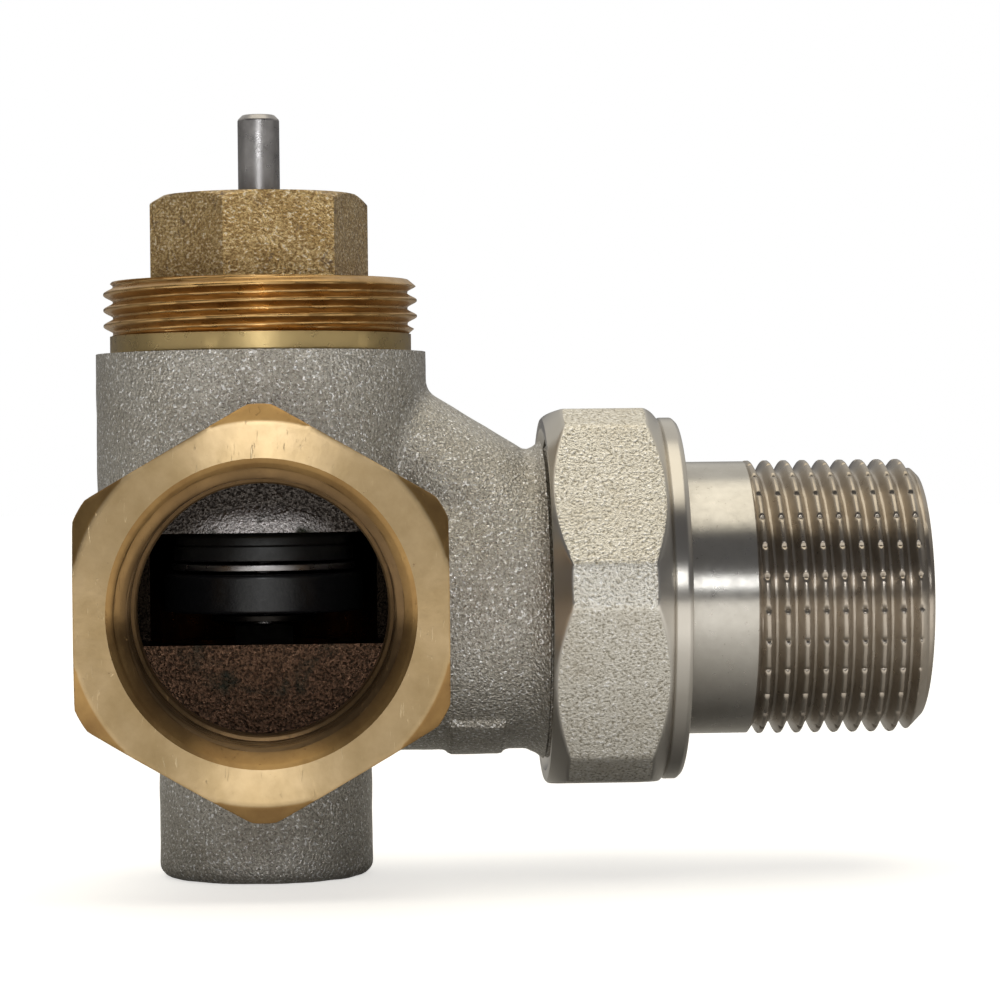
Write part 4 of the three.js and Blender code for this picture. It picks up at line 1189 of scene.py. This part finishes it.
def flash():
    """A small soft lamp in front of the object and above the lens."""
    data = bpy.data.lights.new("flash", "AREA")
    data.energy = FLASH["power"]
    data.shape = "RECTANGLE"
    data.size = FLASH["size"]
    data.size_y = FLASH["size_y"]
    data.color = (0.96, 0.98, 1.0)
    lamp = bpy.data.objects.new("flash", data)
    lamp.location = (0.0, -0.75, 0.19)
    aim = Vector((0.015, 0, 0.01)) - lamp.location
    lamp.rotation_euler = aim.to_track_quat("-Z", "Y").to_euler()
    bpy.context.scene.collection.objects.link(lamp)


def overhead_light():
    """Soft light from above, and dim walls that are paler behind the object."""
    world = bpy.data.worlds.new("studio")
    world.use_nodes = True
    sky = Nodes(world.node_tree)
    direction = sky.node("ShaderNodeTexCoord").outputs["Generated"]
    behind = sky.between(sky.part(direction, 1), -0.3, 0.6)
    raised = sky.between(sky.part(direction, 2), 0.05, 0.45)
    walls = sky.blend(sky.maths("MULTIPLY", behind, raised), FRONT_WALLS, BACK_WALLS)
    edge_low, edge_high = math.sin(math.radians(57)), math.sin(math.radians(66))
    overhead = sky.between(sky.part(direction, 2), edge_low, edge_high)
    light = sky.blend(overhead, walls, OVERHEAD)
    seen = sky.node("ShaderNodeLightPath").outputs["Is Camera Ray"]
    background = world.node_tree.nodes["Background"]
    sky.feed(background.inputs["Color"], sky.blend(seen, light, (1.0, 1.0, 1.0)))
    bpy.context.scene.world = world


def camera():
    """A long lens 0.365 m in front of the valve's axis, turned slightly to the right and rolled."""
    data = bpy.data.cameras.new("camera")
    data.sensor_width = 36.0
    data.lens = 136.66
    data.clip_start = 0.01
    eye = bpy.data.objects.new("camera", data)
    eye.location = Vector((3.0, -365.0, 13.83)) * MM
    turn, dip, roll = math.radians(3.105), math.radians(0.658), math.radians(0.64)
    level = Euler((math.pi / 2 - dip, 0, -turn)).to_matrix()
    eye.rotation_euler = (level @ Matrix.Rotation(-roll, 3, "Z")).to_euler()
    bpy.context.scene.collection.objects.link(eye)
    bpy.context.scene.camera = eye


# ---- assembly

brass = bare_brass("machined brass", 0.25, 4.0, (0.62, 0.40, 0.17), (0.42, 0.26, 0.11), 0.22)
bore_brass = bare_brass(
    "waterway brass", 0.3, 2.5, (0.20, 0.105, 0.035), (0.07, 0.042, 0.020), 0.25, colour_kept_in_painted_shade=0.25)
stainless = steel("stainless steel", (0.42, 0.405, 0.40), 0.30)
spring_steel = steel("spring steel", (0.38, 0.375, 0.37), 0.34, (3, 3, 3))
# Near-black steel for the washer and nut under the disc.
dark_steel = steel("near-black steel", (0.05, 0.045, 0.04), 0.42)
rubber = moulded("black rubber", (0.006, 0.006, 0.007), 0.36, 0.3)
black_plastic = moulded("black plastic", (0.007, 0.007, 0.007), 0.42)
guide_plastic = moulded("guide plastic", (0.66, 0.63, 0.55), 0.45)
fibre = moulded("sealing fibre", (0.13, 0.20, 0.17), 0.8, 0.35)
copper = steel("annealed copper", (0.55, 0.24, 0.13), 0.36)

casting(cast_nickel(), bore_brass)
inlet_socket(port_brass())
plain_ring("inlet_gasket", NECK_BORE, copper, "-Y")
bonnet(head_brass())
seal_ring("bonnet_o_ring", rubber)
gland_cartridge(brass)
seal_ring("gland_outer_o_ring", rubber)
seal_ring("gland_inner_o_ring", rubber)
plain_ring("gland_washer", PIN_HOLE, guide_plastic)
guide_bush(guide_plastic)
snap_ring("bush_snap_ring", BUSH_RING, spring_steel)
return_spring(spring_steel)
pressure_pin(stainless)
valve_spindle(stainless)
spring_cup(brass)
snap_ring("spindle_clip", SPINDLE_CLIP, spring_steel)
disc_holder(black_plastic)
plain_ring("disc_backing_plate", STUD_HOLE, stainless)
seal_disc(rubber)
plain_ring("disc_washer", STUD_HOLE, dark_steel)
disc_nut(dark_steel)
plain_ring("union_seal", SEAL_HOLE, fibre, "X")
union_nut(nut_nickel())
tailpiece(tail_nickel())
backdrop()
flash()
overhead_light()
camera()
bpy.context.scene.view_settings.view_transform = "Standard"
